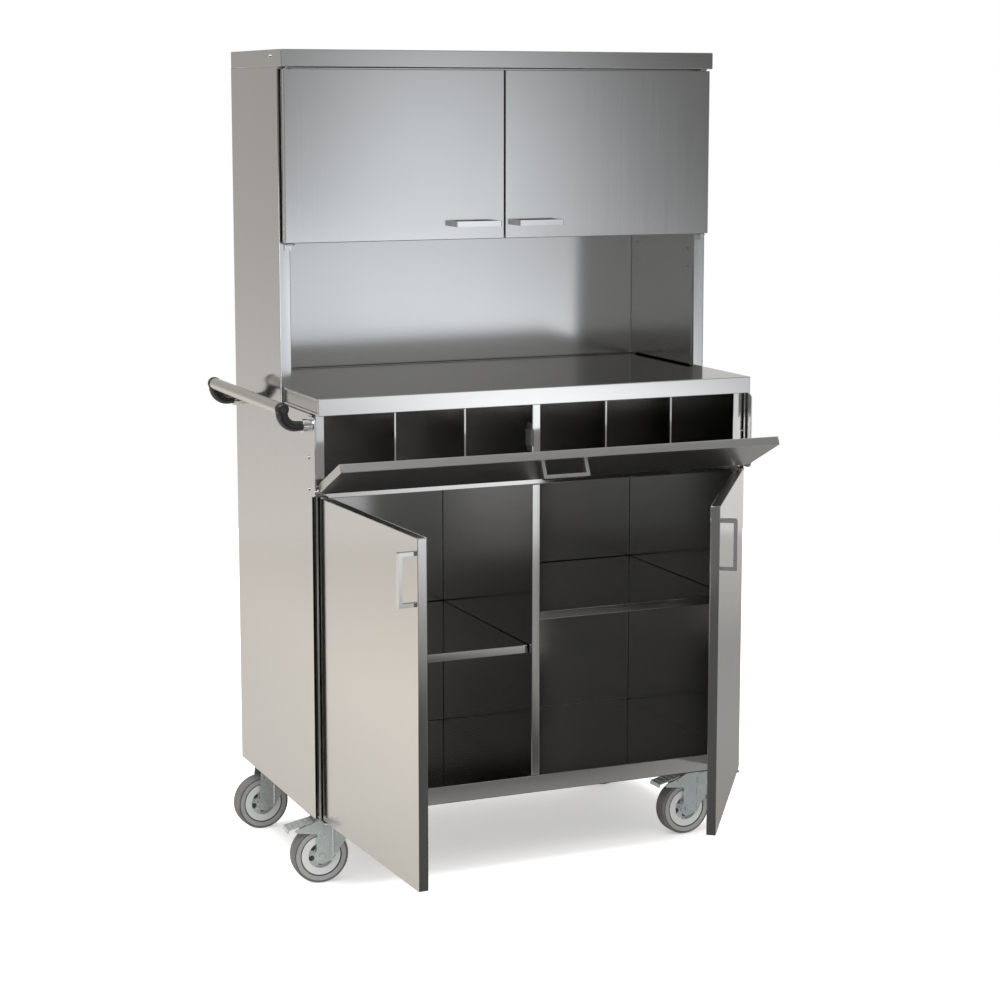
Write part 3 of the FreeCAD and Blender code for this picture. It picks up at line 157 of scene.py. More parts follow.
class StationStudio(bpy.types.PropertyGroup):
    """Floor, light and camera."""

    floor: colour_property("Floor", "Pale studio floor", (0.88, 0.87, 0.84))
    cloth: colour_property("Grey cloth", "Grey cloth in front, as the steel mirrors it", (0.10, 0.10, 0.098))
    soft_light: FloatProperty(
        name="Soft light", description="Even light from all round", default=0.80, min=0.0, max=5.0
    )
    key_power: FloatProperty(
        name="Key lamp", description="Power of the large lamp overhead", default=60.0, min=0.0, max=2000.0
    )
    lens: FloatProperty(name="Lens", description="Focal length", default=83.958, min=10.0, max=300.0)


# ---------------------------------------------------------------- materials


class Nodes:
    """Short hand for building a node tree."""

    def __init__(self, tree):
        self.tree = tree
        tree.nodes.clear()

    def add(self, kind, inputs=None, **settings):
        node = self.tree.nodes.new(kind)
        for key, value in settings.items():
            setattr(node, key, value)
        for key, value in (inputs or {}).items():
            if isinstance(value, bpy.types.NodeSocket):
                self.tree.links.new(value, node.inputs[key])
            else:
                node.inputs[key].default_value = value
        return node

    def math(self, operation, a, b=0.0, c=0.0):
        return self.add("ShaderNodeMath", {0: a, 1: b, 2: c}, operation=operation).outputs[0]

    def add_share(self, value, share, base):
        """The value times a share, added to a base."""
        return self.math("MULTIPLY_ADD", value, share, base)

    def noise(self, vector, scale, detail=3.0, roughness=0.5):
        node = self.add(
            "ShaderNodeTexNoise", {"Vector": vector, "Scale": scale, "Detail": detail, "Roughness": roughness}
        )
        return node.outputs["Fac"]

    def stretched(self, vector, scale):
        return self.add("ShaderNodeMapping", {"Vector": vector, "Scale": scale}).outputs["Vector"]

    def ranged(self, value, low, high, to_low, to_high, smooth=False):
        node = self.add(
            "ShaderNodeMapRange",
            {"Value": value, "From Min": low, "From Max": high, "To Min": to_low, "To Max": to_high},
        )
        node.interpolation_type = "SMOOTHSTEP" if smooth else "LINEAR"
        return node.outputs["Result"]

    def blend(self, factor, a, b, mode="MIX"):
        node = self.add("ShaderNodeMix", data_type="RGBA", blend_type=mode)
        for socket, value in ((node.inputs[0], factor), (node.inputs[6], a), (node.inputs[7], b)):
            if isinstance(value, bpy.types.NodeSocket):
                self.tree.links.new(value, socket)
            elif isinstance(value, (int, float)):
                socket.default_value = value
            else:
                socket.default_value = (*value, 1.0)
        return node.outputs[2]

    def ramp(self, place, row):
        """Colour ramp from (place, brightness, warmth) stops."""
        node = self.add("ShaderNodeValToRGB", {"Fac": place})
        elements = node.color_ramp.elements
        while len(elements) < len(row):
            elements.new(0.5)
        for element, (position, level, warmth) in zip(elements, row):
            element.position = position
            element.color = (*tinted(level, warmth), 1.0)
        return node.outputs["Color"]

    def bump(self, height, strength, distance):
        node = self.add("ShaderNodeBump", {"Height": height, "Strength": strength, "Distance": distance})
        return node.outputs["Normal"]

    def surface(self, shader):
        self.add("ShaderNodeOutputMaterial", {"Surface": shader})


def new_material(name):
    material = bpy.data.materials.new(name)
    material.use_nodes = True
    return material, Nodes(material.node_tree)


def darker(colour, share):
    return tuple(c * share for c in colour)


def lighter(colour, share):
    return tuple(min(c * share, 1.0) for c in colour)


def tinted(level, warmth):
    """Light of one brightness, warmer or, below 0, cooler."""
    return level * (1 + warmth), level, level * (1 - warmth)


def along_grain(scales, axis):
    """Texture scale on x, y and z: the first number across the grain, the second along it."""
    across, along = scales
    return tuple(along if letter == axis else across for letter in "xyz")


STREAK_SCALES = (140.0, 1.6)
SCRATCH_SCALES = (420.0, 9.0)
STREAK_DULL, SCRATCH_DULL, MARK_DULL, WORN_DULL = 0.03, 0.012, 0.02, 0.08


def steel(name, colour, roughness, grain_axis, streak=0.015, relief=0.012, metallic=1.0):
    """Brushed steel, with its grain along one axis: streaks, fine scratches, hand marks and worn edges."""
    material, n = new_material(name)
    place = n.add("ShaderNodeTexCoord").outputs["Object"]
    streaks = n.noise(n.stretched(place, along_grain(STREAK_SCALES, grain_axis)), 1.0, 4.0, 0.6)
    scratches = n.noise(n.stretched(place, along_grain(SCRATCH_SCALES, grain_axis)), 1.0, 2.0, 0.7)
    marks = n.noise(place, 5.0, 4.0, 0.55)
    worn = n.ranged(n.add("ShaderNodeNewGeometry").outputs["Pointiness"], 0.52, 0.60, 0.0, 1.0)
    dark, light = darker(colour, 1.0 - streak), lighter(colour, 1.0 + streak)
    tone = n.blend(n.ranged(streaks, 0.3, 0.7, 0.0, 1.0), dark, light)
    tone = n.blend(n.math("MULTIPLY", worn, 0.25), tone, lighter(colour, 1.18))
    polish = roughness - (STREAK_DULL + SCRATCH_DULL + MARK_DULL) / 2
    masks = ((streaks, STREAK_DULL), (scratches, SCRATCH_DULL), (marks, MARK_DULL), (worn, WORN_DULL))
    for mask, dull in masks:
        polish = n.add_share(mask, dull, polish)
    shader = n.add(
        "ShaderNodeBsdfPrincipled",
        {
            "Base Color": tone,
            "Metallic": metallic,
            "Roughness": polish,
            "Normal": n.bump(streaks, relief, 0.0002),
        },
    )
    n.surface(shader.outputs["BSDF"])
    return material


BLOOM_DULL = 0.16


def plated(name, colour, roughness, spots, metallic=1.0):
    """Plated metal with a faint cloudy bloom and fine pits."""
    material, n = new_material(name)
    place = n.add("ShaderNodeTexCoord").outputs["Object"]
    bloom = n.noise(place, 55.0, 4.0, 0.6)
    pits = n.noise(place, 900.0, 2.0, 0.5)
    dark, light = darker(colour, 1.0 - spots), lighter(colour, 1.0 + spots)
    warm = (colour[0] * 1.03, colour[1], colour[2] * 0.92)
    tone = n.blend(n.ranged(bloom, 0.35, 0.65, 0.0, 1.0), dark, light)
    tone = n.blend(n.ranged(n.noise(place, 18.0, 2.0), 0.45, 0.7, 0.0, 0.5), tone, warm)
    shader = n.add(
        "ShaderNodeBsdfPrincipled",
        {
            "Base Color": tone,
            "Metallic": metallic,
            "Roughness": n.add_share(bloom, BLOOM_DULL, roughness - BLOOM_DULL / 2),
            "Normal": n.bump(pits, 0.04, 0.0002),
        },
    )
    n.surface(shader.outputs["BSDF"])
    return material


SCUFF_SCALE = (160.0, 160.0, 420.0)
SCUFF_DULL = 0.2


def moulded(name, colour, roughness, speckle, pebble=700.0, relief=0.15):
    """Moulded plastic or rubber: fine pebble, scuffs and a little dust in the colour."""
    material, n = new_material(name)
    place = n.add("ShaderNodeTexCoord").outputs["Object"]
    cloud = n.noise(place, 30.0, 5.0, 0.6)
    pebbles = n.noise(place, pebble, 2.0, 0.5)
    scuffs = n.noise(n.stretched(place, SCUFF_SCALE), 1.0, 4.0, 0.65)
    dark, light = darker(colour, 1.0 - speckle), lighter(colour, 1.0 + speckle)
    tone = n.blend(n.ranged(cloud, 0.3, 0.7, 0.0, 1.0), dark, light)
    tone = n.blend(n.ranged(scuffs, 0.62, 0.8, 0.0, 0.3), tone, lighter(colour, 1.5))
    shader = n.add(
        "ShaderNodeBsdfPrincipled",
        {
            "Base Color": tone,
            "Metallic": 0.0,
            "Roughness": n.add_share(scuffs, SCUFF_DULL, roughness - SCUFF_DULL / 2),
            "Normal": n.bump(pebbles, relief, 0.0003),
        },
    )
    n.surface(shader.outputs["BSDF"])
    return material


CHIP_SCALE = (140.0, 140.0, 420.0)


def pressed_board(name, colour):
    """Raw board: flattened chips in several browns."""
    material, n = new_material(name)
    place = n.add("ShaderNodeTexCoord").outputs["Object"]
    chips = n.add("ShaderNodeTexVoronoi", {"Vector": n.stretched(place, CHIP_SCALE), "Scale": 1.0})
    dark, light = darker(colour, 0.65), lighter(colour, 1.2)
    speckled = n.blend(0.5, dark, chips.outputs["Color"], "OVERLAY")
    tone = n.blend(n.noise(place, 300.0, 3.0), speckled, light)
    shader = n.add(
        "ShaderNodeBsdfPrincipled",
        {"Base Color": tone, "Roughness": 0.8, "Normal": n.bump(chips.outputs["Distance"], 0.3, 0.0005)},
    )
    n.surface(shader.outputs["BSDF"])
    return material


def finish(name):
    """A finish by name, made the first time it is asked for."""
    if name in bpy.data.materials:
        return bpy.data.materials[name]
    f = bpy.context.scene.station_finishes
    sheet, polish = tuple(f.steel), f.steel_roughness
    makers = {
        "sheet_upright": lambda: steel(name, sheet, polish, "z"),
        "sheet_level": lambda: steel(name, sheet, polish, "x"),
        "sheet_door": lambda: steel(name, sheet, polish, "z"),
        # painted shade: the wall liners and the inner backs below the worktop take the sheet darkened, for
        # the shade inside the compartments
        "sheet_wall": lambda: steel(name, darker(sheet, 0.76), polish, "z"),
        "sheet_inner": lambda: steel(name, darker(sheet, 0.84), polish, "z"),
        "sheet_back": lambda: steel(name, sheet, polish, "x", metallic=0.86),
        "sheet_flap": lambda: steel(name, sheet, 0.32, "x"),
        # painted shade: the hollow folds take the sheet darkened, for the shade in the compartments' corners
        "sheet_fold_painted_shade": lambda: steel(name, darker(sheet, 0.66), 0.22, "z"),
        # painted shade: the plates in the worktop's hollow ends take the sheet darkened, for the shade in the
        # recess
        "sheet_hollow_painted_shade": lambda: steel(name, darker(sheet, 0.72), 0.20, "y"),
        "ground_tube": lambda: steel(name, tuple(f.tube), 0.24, "y", streak=0.04, relief=0.05),
        "bright_steel": lambda: steel(name, tuple(f.bright), 0.16, "x", streak=0.03, relief=0.02),
        "chrome_plate": lambda: plated(name, tuple(f.chrome), 0.12, 0.03),
        "zinc_plate": lambda: plated(name, tuple(f.zinc), 0.26, 0.05, metallic=0.7),
        "hub_plastic": lambda: moulded(name, tuple(f.hub), 0.38, 0.03, relief=0.05),
        "tyre_sidewall": lambda: moulded(name, tuple(f.tyre), 0.55, 0.05, pebble=500.0, relief=0.1),
        "tyre_tread": lambda: moulded(name, tuple(f.tread), 0.60, 0.15, pebble=350.0, relief=0.2),
        # painted shade: the tread darkened, for the shade in the tyre's grooves
        "tyre_groove": lambda: moulded(name, darker(f.tread, 0.3), 0.60, 0.15, pebble=350.0, relief=0.2),
        "elbow_plastic": lambda: moulded(name, tuple(f.plastic), 0.24, 0.05, pebble=900.0, relief=0.03),
        "catch_plastic": lambda: moulded(name, tuple(f.plastic), 0.5, 0.1),
        "core_board": lambda: pressed_board(name, tuple(f.board)),
    }
    return makers[name]()


# ---------------------------------------------------------------- pieces


def dress(node, finish_name, radius=0.0):
    """Gives a node its finish, and rounds its sharp edges."""
    piece = NODES[node]
    piece.data.materials.clear()
    piece.data.materials.append(finish(finish_name))
    if radius > 0:
        weld = piece.modifiers.new("weld", "WELD")
        weld.merge_threshold = WELD_REACH
        bevel = piece.modifiers.new("rounded_edges", "BEVEL")
        bevel.width = radius
        bevel.segments = 2
        bevel.limit_method = "ANGLE"
        bevel.angle_limit = SHARP_ANGLE
        flatten = piece.modifiers.new("flat_faces", "WEIGHTED_NORMAL")
        flatten.weight = FLAT_WEIGHT
    return piece


def folded(node, finish_name, sizes, above=None):
    """Stands for a sheet node: the same sheet with its folds and cut edges rounded.

    above is a height and the finish of the faces over it.
    """
    mesh = bmesh.new()
    mesh.from_mesh(NODES[node].data)
    bmesh.ops.remove_doubles(mesh, verts=mesh.verts, dist=WELD_REACH)
    bmesh.ops.dissolve_limit(mesh, angle_limit=FLAT_ANGLE, verts=mesh.verts, edges=mesh.edges)
    folds, cuts = [], []
    for edge in mesh.edges:
        if len(edge.link_faces) != 2 or edge.calc_length() < SHORT_EDGE:
            continue
        if edge.calc_face_angle(0.0) < SHARP_ANGLE:
            continue
        wide = min(breadth(face, edge) for face in edge.link_faces) > SHORT_EDGE
        (folds if wide and edge.is_convex else cuts).append(edge)
    round_edges(mesh, folds, sizes.fold_radius, FOLD_STEPS)
    round_edges(mesh, [edge for edge in cuts if edge.is_valid], sizes.cut_radius, 1)
    names = [finish_name]
    if above:
        names.append(above[1])
        for face in mesh.faces:
            face.material_index = int(face.calc_center_median().z > above[0])
    piece = new_piece(node + "_sheet", mesh, NODES[node]["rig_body"], "stainless_sheet", *names)
    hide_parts(node)
    return piece


def round_edges(mesh, edges, radius, steps):
    if edges:
        bmesh.ops.bevel(
            mesh, geom=edges, offset=radius, offset_type="OFFSET", segments=steps, profile=0.5, affect="EDGES"
        )


def breadth(face, edge):
    """How far a face reaches away from one of its edges."""
    start = edge.verts[0].co
    along = (edge.verts[1].co - start).normalized()
    away = face.normal.cross(along)
    return max(abs((vert.co - start).dot(away)) for vert in face.verts)


def new_piece(name, mesh, body, slot, *finish_names):
    """Puts a bmesh in the scene as a piece that rides on a body."""
    data = bpy.data.meshes.new(name)
    mesh.normal_update()
    mesh.to_mesh(data)
    mesh.free()
    piece = bpy.data.objects.new(name, data)
    bpy.context.scene.collection.objects.link(piece)
    for finish_name in finish_names:
        data.materials.append(finish(finish_name))
    data.shade_smooth()
    data.set_sharp_from_angle(angle=SMOOTH_ANGLE)
    flatten = piece.modifiers.new("flat_faces", "WEIGHTED_NORMAL")
    flatten.weight = FLAT_WEIGHT
    flatten.keep_sharp = True
    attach(piece, body)
    return piece


def lathe(mesh, profile, place, steps, material_of=None):
    """Turns an open profile of (radius, along) points about local Y and moves it to its place."""
    rings = []
    for n in range(steps):
        a = 2 * math.pi * n / steps
        rings.append(
            [mesh.verts.new(place @ Vector((r * math.cos(a), y, r * math.sin(a)))) for r, y in profile]
        )
    for n in range(steps):
        one, two = rings[n], rings[(n + 1) % steps]
        for k in range(len(profile) - 1):
            face = mesh.faces.new((one[k], one[k + 1], two[k + 1], two[k]))
            face.smooth = True
            if material_of:
                face.material_index = material_of(k)


def block(mesh, low, high):
    """Box between two corners, given in millimetres."""
    points = [(x, y, z) for x in (low[0], high[0]) for y in (low[1], high[1]) for z in (low[2], high[2])]
    corners = [mesh.verts.new(Vector(point) * MM) for point in points]
    for face in ((0, 1, 3, 2), (4, 6, 7, 5), (0, 4, 5, 1), (2, 3, 7, 6), (0, 2, 6, 4), (1, 5, 7, 3)):
        mesh.faces.new([corners[k] for k in face])


def hollow_fold(mesh, start, end, first, second, radius):
    """Concave fold in a corner between sheets that leave along first and second.

    The corner runs from start to end, in millimetres. The radius is in metres.
    """
    root, quarter_steps = 0.15, 6
    start, end, first, second = (Vector(v) for v in (start, end, first, second))
    profile = [-(first + second) * root]
    for n in range(quarter_steps + 1):
        a = math.pi / 2 * n / quarter_steps
        profile.append(((first + second) - first * math.sin(a) - second * math.cos(a)) * radius / MM)
    rings = [[mesh.verts.new((place + point) * MM) for point in profile] for place in (start, end)]
    for k in range(len(profile)):
        after = (k + 1) % len(profile)
        mesh.faces.new((rings[0][k], rings[0][after], rings[1][after], rings[1][k]))
    mesh.faces.new(rings[0])
    mesh.faces.new(reversed(rings[1]))


def rounded_piece(name, mesh, body, slot, finish_name, radius):
    """New piece with its sharp edges rounded."""
    bmesh.ops.recalc_face_normals(mesh, faces=mesh.faces)
    edges = [edge for edge in mesh.edges if edge.calc_face_angle(0.0) > SHARP_ANGLE]
    round_edges(mesh, edges, radius, 2)
    return new_piece(name, mesh, body, slot, finish_name)


def turned_piece(name, mesh, body, slot, *finish_names):
    """New piece from lathe work, with its seam closed."""
    bmesh.ops.remove_doubles(mesh, verts=mesh.verts, dist=SEAM_REACH)
    bmesh.ops.recalc_face_normals(mesh, faces=mesh.faces)
    return new_piece(name, mesh, body, slot, *finish_names)


class StationOperator(bpy.types.Operator):
    """Base of the station's operators."""

    bl_options = {"REGISTER", "UNDO"}


# ---- ends of the worktop and of the side panels, in millimetres
COLUMN_SETBACK = 28.0
RIM_DEPTH = 4.0
PLATE_THICKNESS = 0.5
SKIN = 1.6
SKIN_AIR = 0.1
FACE_AIR = 0.15
TOP_FOLD_X = 491.0
TOP_FOLD_REAR = 0.5
RIM_ROUNDING, PLATE_ROUNDING, FOLD_ROUNDING = 0.4 * MM, 0.1 * MM, 0.3 * MM


class STATION_OT_carcass(StationOperator):
    """Finish the sheets, posts and floors of the carcass"""

    bl_idname = "station.carcass"
    bl_label = "Carcass"

    def execute(self, context):
        sizes = context.scene.station_sizes
        for node in UPRIGHT_GRAIN:
            folded(node, "sheet_upright", sizes)
        for node in LEVEL_GRAIN:
            folded(node, "sheet_level", sizes)
        dress("worktop_core", "core_board")
        # painted shade: the wall liners are darker, and so are the inner backs below the worktop's underside;
        # the niche back above keeps the plain sheet colour
        folded("wall_liners", "sheet_wall", sizes)
        folded("inner_backs", "sheet_inner", sizes, (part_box("worktop")[0].z, "sheet_back"))
        self.hollow_folds(sizes)
        self.worktop_ends(sizes)
        return {"FINISHED"}

    def hollow_folds(self, sizes):
        """Hollow folds up the back corners of the niche and cupboards, and along the back of the tray, in a
        darker steel: painted shade in the corners.
        """
        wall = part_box("inner_backs")[1].x / MM
        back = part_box("inner_backs")[0].y / MM
        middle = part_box("centre_partitions")[1].x / MM
        over_worktop = 4.0
        niche = (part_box("worktop")[1].z / MM + over_worktop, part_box("cabinet_decks")[0].z / MM)
        cupboard = (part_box("base_tray")[1].z / MM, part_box("compartment_floor")[0].z / MM)
        niche_folds, cupboard_folds = bmesh.new(), bmesh.new()
        radius = sizes.inner_radius
        for side in (-1, 1):
            for mesh, x, away, (low, high) in (
                (niche_folds, wall, -1, niche),
                (cupboard_folds, wall, -1, cupboard),
                (cupboard_folds, middle, 1, cupboard),
            ):
                ends = (side * x, back, low), (side * x, back, high)
                hollow_fold(mesh, *ends, (side * away, 0, 0), (0, -1, 0), radius)
            ends = (side * middle, back, cupboard[0]), (side * wall, back, cupboard[0])
            hollow_fold(cupboard_folds, *ends, (0, 0, 1), (0, -1, 0), radius)
        for name, mesh in (("niche_folds", niche_folds), ("cupboard_folds", cupboard_folds)):
            bmesh.ops.recalc_face_normals(mesh, faces=mesh.faces)
            new_piece(name, mesh, "carcass", "stainless_sheet", "sheet_fold_painted_shade")

    def worktop_ends(self, sizes):
        """Rims round the worktop's hollow ends, the hollows' plates in a darker steel for painted shade in
        the recess, and the side panels' top folds.
        """
        low, high = (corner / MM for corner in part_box("worktop"))
        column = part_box("upper_left_door_pan")[0].y / MM + COLUMN_SETBACK
        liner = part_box("wall_liners")[0].y / MM
        front, rear = low.y + FACE_AIR, column - 2 * FACE_AIR
        bottom, top = low.z + SKIN_AIR, high.z - FACE_AIR
        width = sizes.rim_width / MM
        sill, head = low.z + width, high.z - width
        rims, plates, folds = bmesh.new(), bmesh.new(), bmesh.new()
        for side in (-1, 1):
            near, far = sorted((side * (high.x - RIM_DEPTH), side * (high.x - FACE_AIR)))
            for start, end in (
                ((front, bottom), (rear, sill)),
                ((front, head), (rear, top)),
                ((front, sill), (front + width, head)),
                ((rear - width, sill), (rear, head)),
            ):
                block(rims, (near, *start), (far, *end))
            seat = high.x - RIM_DEPTH - SKIN_AIR
            near, far = sorted((side * seat, side * (seat + PLATE_THICKNESS)))
            block(plates, (near, front, low.z + SKIN), (far, rear, high.z - SKIN))
            skin = -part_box("side_panel_left")[0].x / MM - SKIN - SKIN_AIR
            near, far = sorted((side * TOP_FOLD_X, side * skin))
            fold_front, fold_rear = liner + 2 * FACE_AIR, column - TOP_FOLD_REAR
            block(folds, (near, fold_front, low.z - SKIN), (far, fold_rear, low.z - SKIN_AIR))
        for name, mesh, finish_name, rounding in (
            ("worktop_end_rims", rims, "sheet_level", RIM_ROUNDING),
            ("worktop_end_plates", plates, "sheet_hollow_painted_shade", PLATE_ROUNDING),
            ("side_top_folds", folds, "sheet_level", FOLD_ROUNDING),
        ):
            rounded_piece(name, mesh, "carcass", "stainless_sheet", finish_name, rounding)


class STATION_OT_doors(StationOperator):
    """Finish the four doors with their handles and pivots"""

    bl_idname = "station.doors"
    bl_label = "Doors"

    def execute(self, context):
        sizes = context.scene.station_sizes
        for door in DOORS:
            folded(door + "_pan", "sheet_door", sizes)
            folded(door + "_panel", "sheet_door", sizes)
            dress(door + "_handle", "bright_steel", sizes.edge_radius)
        dress("door_brackets", "sheet_upright", sizes.edge_radius)
        return {"FINISHED"}


class STATION_OT_flap(StationOperator):
    """Finish the drop-down flap, its pins and its catch"""

    bl_idname = "station.flap"
    bl_label = "Flap"

    def execute(self, context):
        sizes = context.scene.station_sizes
        for node in ("flap_shell", "flap_ends"):
            folded(node, "sheet_flap", sizes)
        dress("flap_handle", "bright_steel", sizes.edge_radius)
        dress("flap_pins", "bright_steel")
        dress("flap_catch", "catch_plastic", sizes.edge_radius)
        return {"FINISHED"}


class STATION_OT_fittings(StationOperator):
    """Finish the shelf pins, screws, bolts and rivets"""

    bl_idname = "station.fittings"
    bl_label = "Fittings"

    def execute(self, context):
        for node in ("shelf_pins", "fasteners"):
            dress(node, "bright_steel", context.scene.station_sizes.edge_radius)
        return {"FINISHED"}


# ---- sleeves of the push handle, in millimetres
ROSETTE_BORE = 11.2
ROSETTE_END = 12.4
ROSETTE_RING = 13.2
RING_PLACES = (0.4, 4.9, 9.4)
# one ring and the groove after it: radius and place along the sleeve
RING_STEPS = ((ROSETTE_RING, 0.0), (ROSETTE_RING, 3.2), (12.0, 3.5), (12.0, 4.2))
TURNED_STEPS = 48


class STATION_OT_push_handle(StationOperator):
    """Finish the push handle on the left side"""

    bl_idname = "station.push_handle"
    bl_label = "Push handle"

    def execute(self, context):
        dress("push_tube", "ground_tube")
        dress("handle_elbows", "elbow_plastic", context.scene.station_sizes.edge_radius)
        dress("handle_collars", "chrome_plate", context.scene.station_sizes.edge_radius)
        self.rosettes()
        return {"FINISHED"}

    def rosettes(self):
        """Grooved sleeves between the elbows' nuts and the side panel."""
        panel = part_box("handle_elbows")[1].x - 0.3 * MM
        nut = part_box("handle_collars")[1].x + 0.2 * MM
        low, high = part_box("handle_collars")
        reach = (high.z - low.z) / 2
        length = (panel - nut) / MM
        profile = [(ROSETTE_BORE, 0.0), (ROSETTE_END, 0.0)]
        for place in RING_PLACES:
            profile += [(radius, place + step) for radius, step in RING_STEPS]
        profile[-2:] = [(ROSETTE_RING - 0.2, length - 0.3), (ROSETTE_END, length)]
        profile += [(ROSETTE_BORE, length), (ROSETTE_BORE, 0.0)]
        profile = [(r * MM, y * MM) for r, y in profile]
        mesh = bmesh.new()
        for y in (low.y + reach, high.y - reach):
            turn = Matrix.Translation((nut, y, (low.z + high.z) / 2)) @ Matrix.Rotation(-math.pi / 2, 4, "Z")
            lathe(mesh, profile, turn, TURNED_STEPS)
        turned_piece("handle_rosettes", mesh, "carcass", "zinc_steel", "bright_steel")


# ---- tyres, in metres; the parts of a sidewall are numbered from its bore outwards
LIP_DROP = 1.8 * MM
LIP_WIDTH = 2.2 * MM
GROOVE_WIDTH = 1.0 * MM
SHOULDER = 4.5 * MM
SHOULDER_STEPS = 5
TYRE_STEPS = 96
SIDEWALL, TREAD, SHADED_GROOVE = 0, 1, 2
# the lip by the bore and the groove by the shoulder take a darker rubber: painted shade in these recesses
TYRE_PARTS = {0: SHADED_GROOVE, 1: SHADED_GROOVE, 2: SIDEWALL, 3: SIDEWALL, 4: SHADED_GROOVE, 5: SHADED_GROOVE}
# ---- discs in the hubs, in millimetres
DISC_BORE = 12.2
DISC_RADIUS = 27.8
DISC_THICKNESS = 1.2


class STATION_OT_castors(StationOperator):
    """Finish the castors and build their tyres"""

    bl_idname = "station.castors"
    bl_label = "Castors"

    def execute(self, context):
        sizes = context.scene.station_sizes
        dress("castor_plates", "zinc_plate", sizes.edge_radius)
        for corner in CORNERS:
            castor = "castor_" + corner
            dress(castor + "_fork", "zinc_plate", sizes.edge_radius)
            dress(castor + "_pins", "zinc_plate", sizes.edge_radius)
            dress(castor + "_hub", "hub_plastic", sizes.edge_radius)
            if corner in BRAKED:
                dress(castor + "_pedal", "zinc_plate", sizes.edge_radius)
            self.tyre(castor, sizes)
        return {"FINISHED"}

    def tyre(self, castor, sizes):
        """Tyre with a crowned tread, rounded shoulders and a groove round each sidewall; the groove and the
        lip by the bore take a darker rubber, painted shade in these recesses.
        """
        node = NODES[castor + "_tyre"]
        low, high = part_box(castor + "_tyre")
        centre = (low + high) / 2
        radius = (high.z - low.z) / 2
        axis = wheel_axis(node, centre)
        turn = Matrix.Translation(centre) @ Vector((0, 1, 0)).rotation_difference(axis).to_matrix().to_4x4()
        offsets = [vert.co - centre for vert in node.data.vertices]
        half = max(abs(offset.dot(axis)) for offset in offsets)
        bore = min((offset - axis * offset.dot(axis)).length for offset in offsets)
        shoulder = radius - SHOULDER
        step = sizes.tyre_step
        side = [
            (bore, half - LIP_DROP),
            (bore + LIP_WIDTH, half - LIP_DROP),
            (bore + LIP_WIDTH + 0.4 * MM, half - 0.4 * MM),
            (bore + LIP_WIDTH + 1.2 * MM, half),
            (shoulder - GROOVE_WIDTH - 0.8 * MM, half),
            (shoulder - GROOVE_WIDTH - 0.3 * MM, half - step),
            (shoulder - 0.3 * MM, half - step),
        ]
        for n in range(SHOULDER_STEPS + 1):
            a = math.pi / 2 * n / SHOULDER_STEPS
            out = shoulder + (SHOULDER - sizes.tyre_crown) * math.sin(a)
            side.append((out, half - step * 0.3 - SHOULDER * (1 - math.cos(a))))
        side.append((radius - sizes.tyre_crown * 0.4, half * 0.4))
        profile = side + [(radius, 0.0)] + [(r, -y) for r, y in reversed(side)]
        profile.append(profile[0])
        last = len(profile) - 1

        def material_of(k):
            return TYRE_PARTS.get(min(k, last - 2 - k), TREAD)

        mesh = bmesh.new()
        lathe(mesh, profile, turn, TYRE_STEPS, material_of)
        name, wheel = castor + "_tyre_rubber", castor + "_wheel"
        piece = turned_piece(name, mesh, wheel, "grey_rubber", "tyre_sidewall", "tyre_tread", "tyre_groove")
        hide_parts(castor + "_tyre")
        # painted shade: a dark disc behind the hub's openings
        self.shade_disc(castor, turn)

    def shade_disc(self, castor, turn):
        """Thin dark disc in the middle of the hub, behind its round openings: a dark sheet that stands for
        painted shade in them.
        """
        near, far, half = DISC_BORE * MM, DISC_RADIUS * MM, DISC_THICKNESS / 2 * MM
        profile = [(near, -half), (far, -half), (far, half), (near, half), (near, -half)]
        mesh = bmesh.new()
        lathe(mesh, profile, turn, TURNED_STEPS)
        turned_piece(castor + "_hub_shade_disc", mesh, castor + "_wheel", "catch_plastic", "catch_plastic")


def wheel_axis(node, centre):
    """Level direction of a wheel's axle, from the direction in which its tyre is thinnest."""
    turns = [math.radians(tenth / 10) for tenth in range(-100, 101)]
    directions = [Vector((-math.sin(a), math.cos(a), 0)) for a in turns]
    return min(directions, key=lambda way: max((vert.co - centre).dot(way) for vert in node.data.vertices))


# ---- the studio as the steel mirrors it
# walls: degrees from the front towards +X, brightness and warmth
WALLS = (
    (-180, 0.40, 0.04),
    (-120, 0.42, 0.04),
    (-60, 0.36, 0.0),
    (-38, 0.14, 0.0),
    (-5, 0.14, 0.0),
    (12, 0.25, 0.0),
    (34, 0.08, 0.03),
    (60, 0.30, 0.03),
    (90, 0.38, 0.02),
    (138, 0.53, 0.02),
)
# soft boxes in front of the walls: degrees, height (0 level, 1 overhead), half width in degrees, half height,
# brightness and warmth
SOFT_BOXES = (
    (25, -0.13, 5, 0.02, 1.05, -0.03),
    (25, -0.165, 6.5, 0.05, 1.10, -0.02),
    (22, -0.035, 3.3, 0.065, 1.0, -0.06),
    (21, 0.08, 4, 0.055, 0.22, 0.0),
    (17, -0.08, 4, 0.014, 1.15, -0.12),
    (17, -0.10, 16, 0.016, 0.6, -0.10),
    (-18, -0.08, 40, 0.045, 0.55, -0.03),
    (-146, -0.25, 34, 0.16, 0.55, 0.06),
    (141, -0.04, 33, 0.17, 0.33, 0.02),
)
# what the ceiling adds, and the heights between which it comes in
CEILING = 0.35
CEILING_FADE = (0.4, 0.9)
# floor: metres from the middle towards +X, brightness and warmth
FLOOR_LANES = (
    (-4.0, 1.05, 0.05),
    (-2.0, 1.10, 0.05),
    (-1.3, 1.12, 0.05),
    (-0.9, 0.96, 0.04),
    (-0.7, 0.92, 0.04),
    (0.0, 0.60, 0.02),
    (0.9, 0.50, 0.0),
    (1.8, 0.44, 0.0),
    (2.7, 0.70, 0.0),
    (4.0, 0.80, 0.0),
)
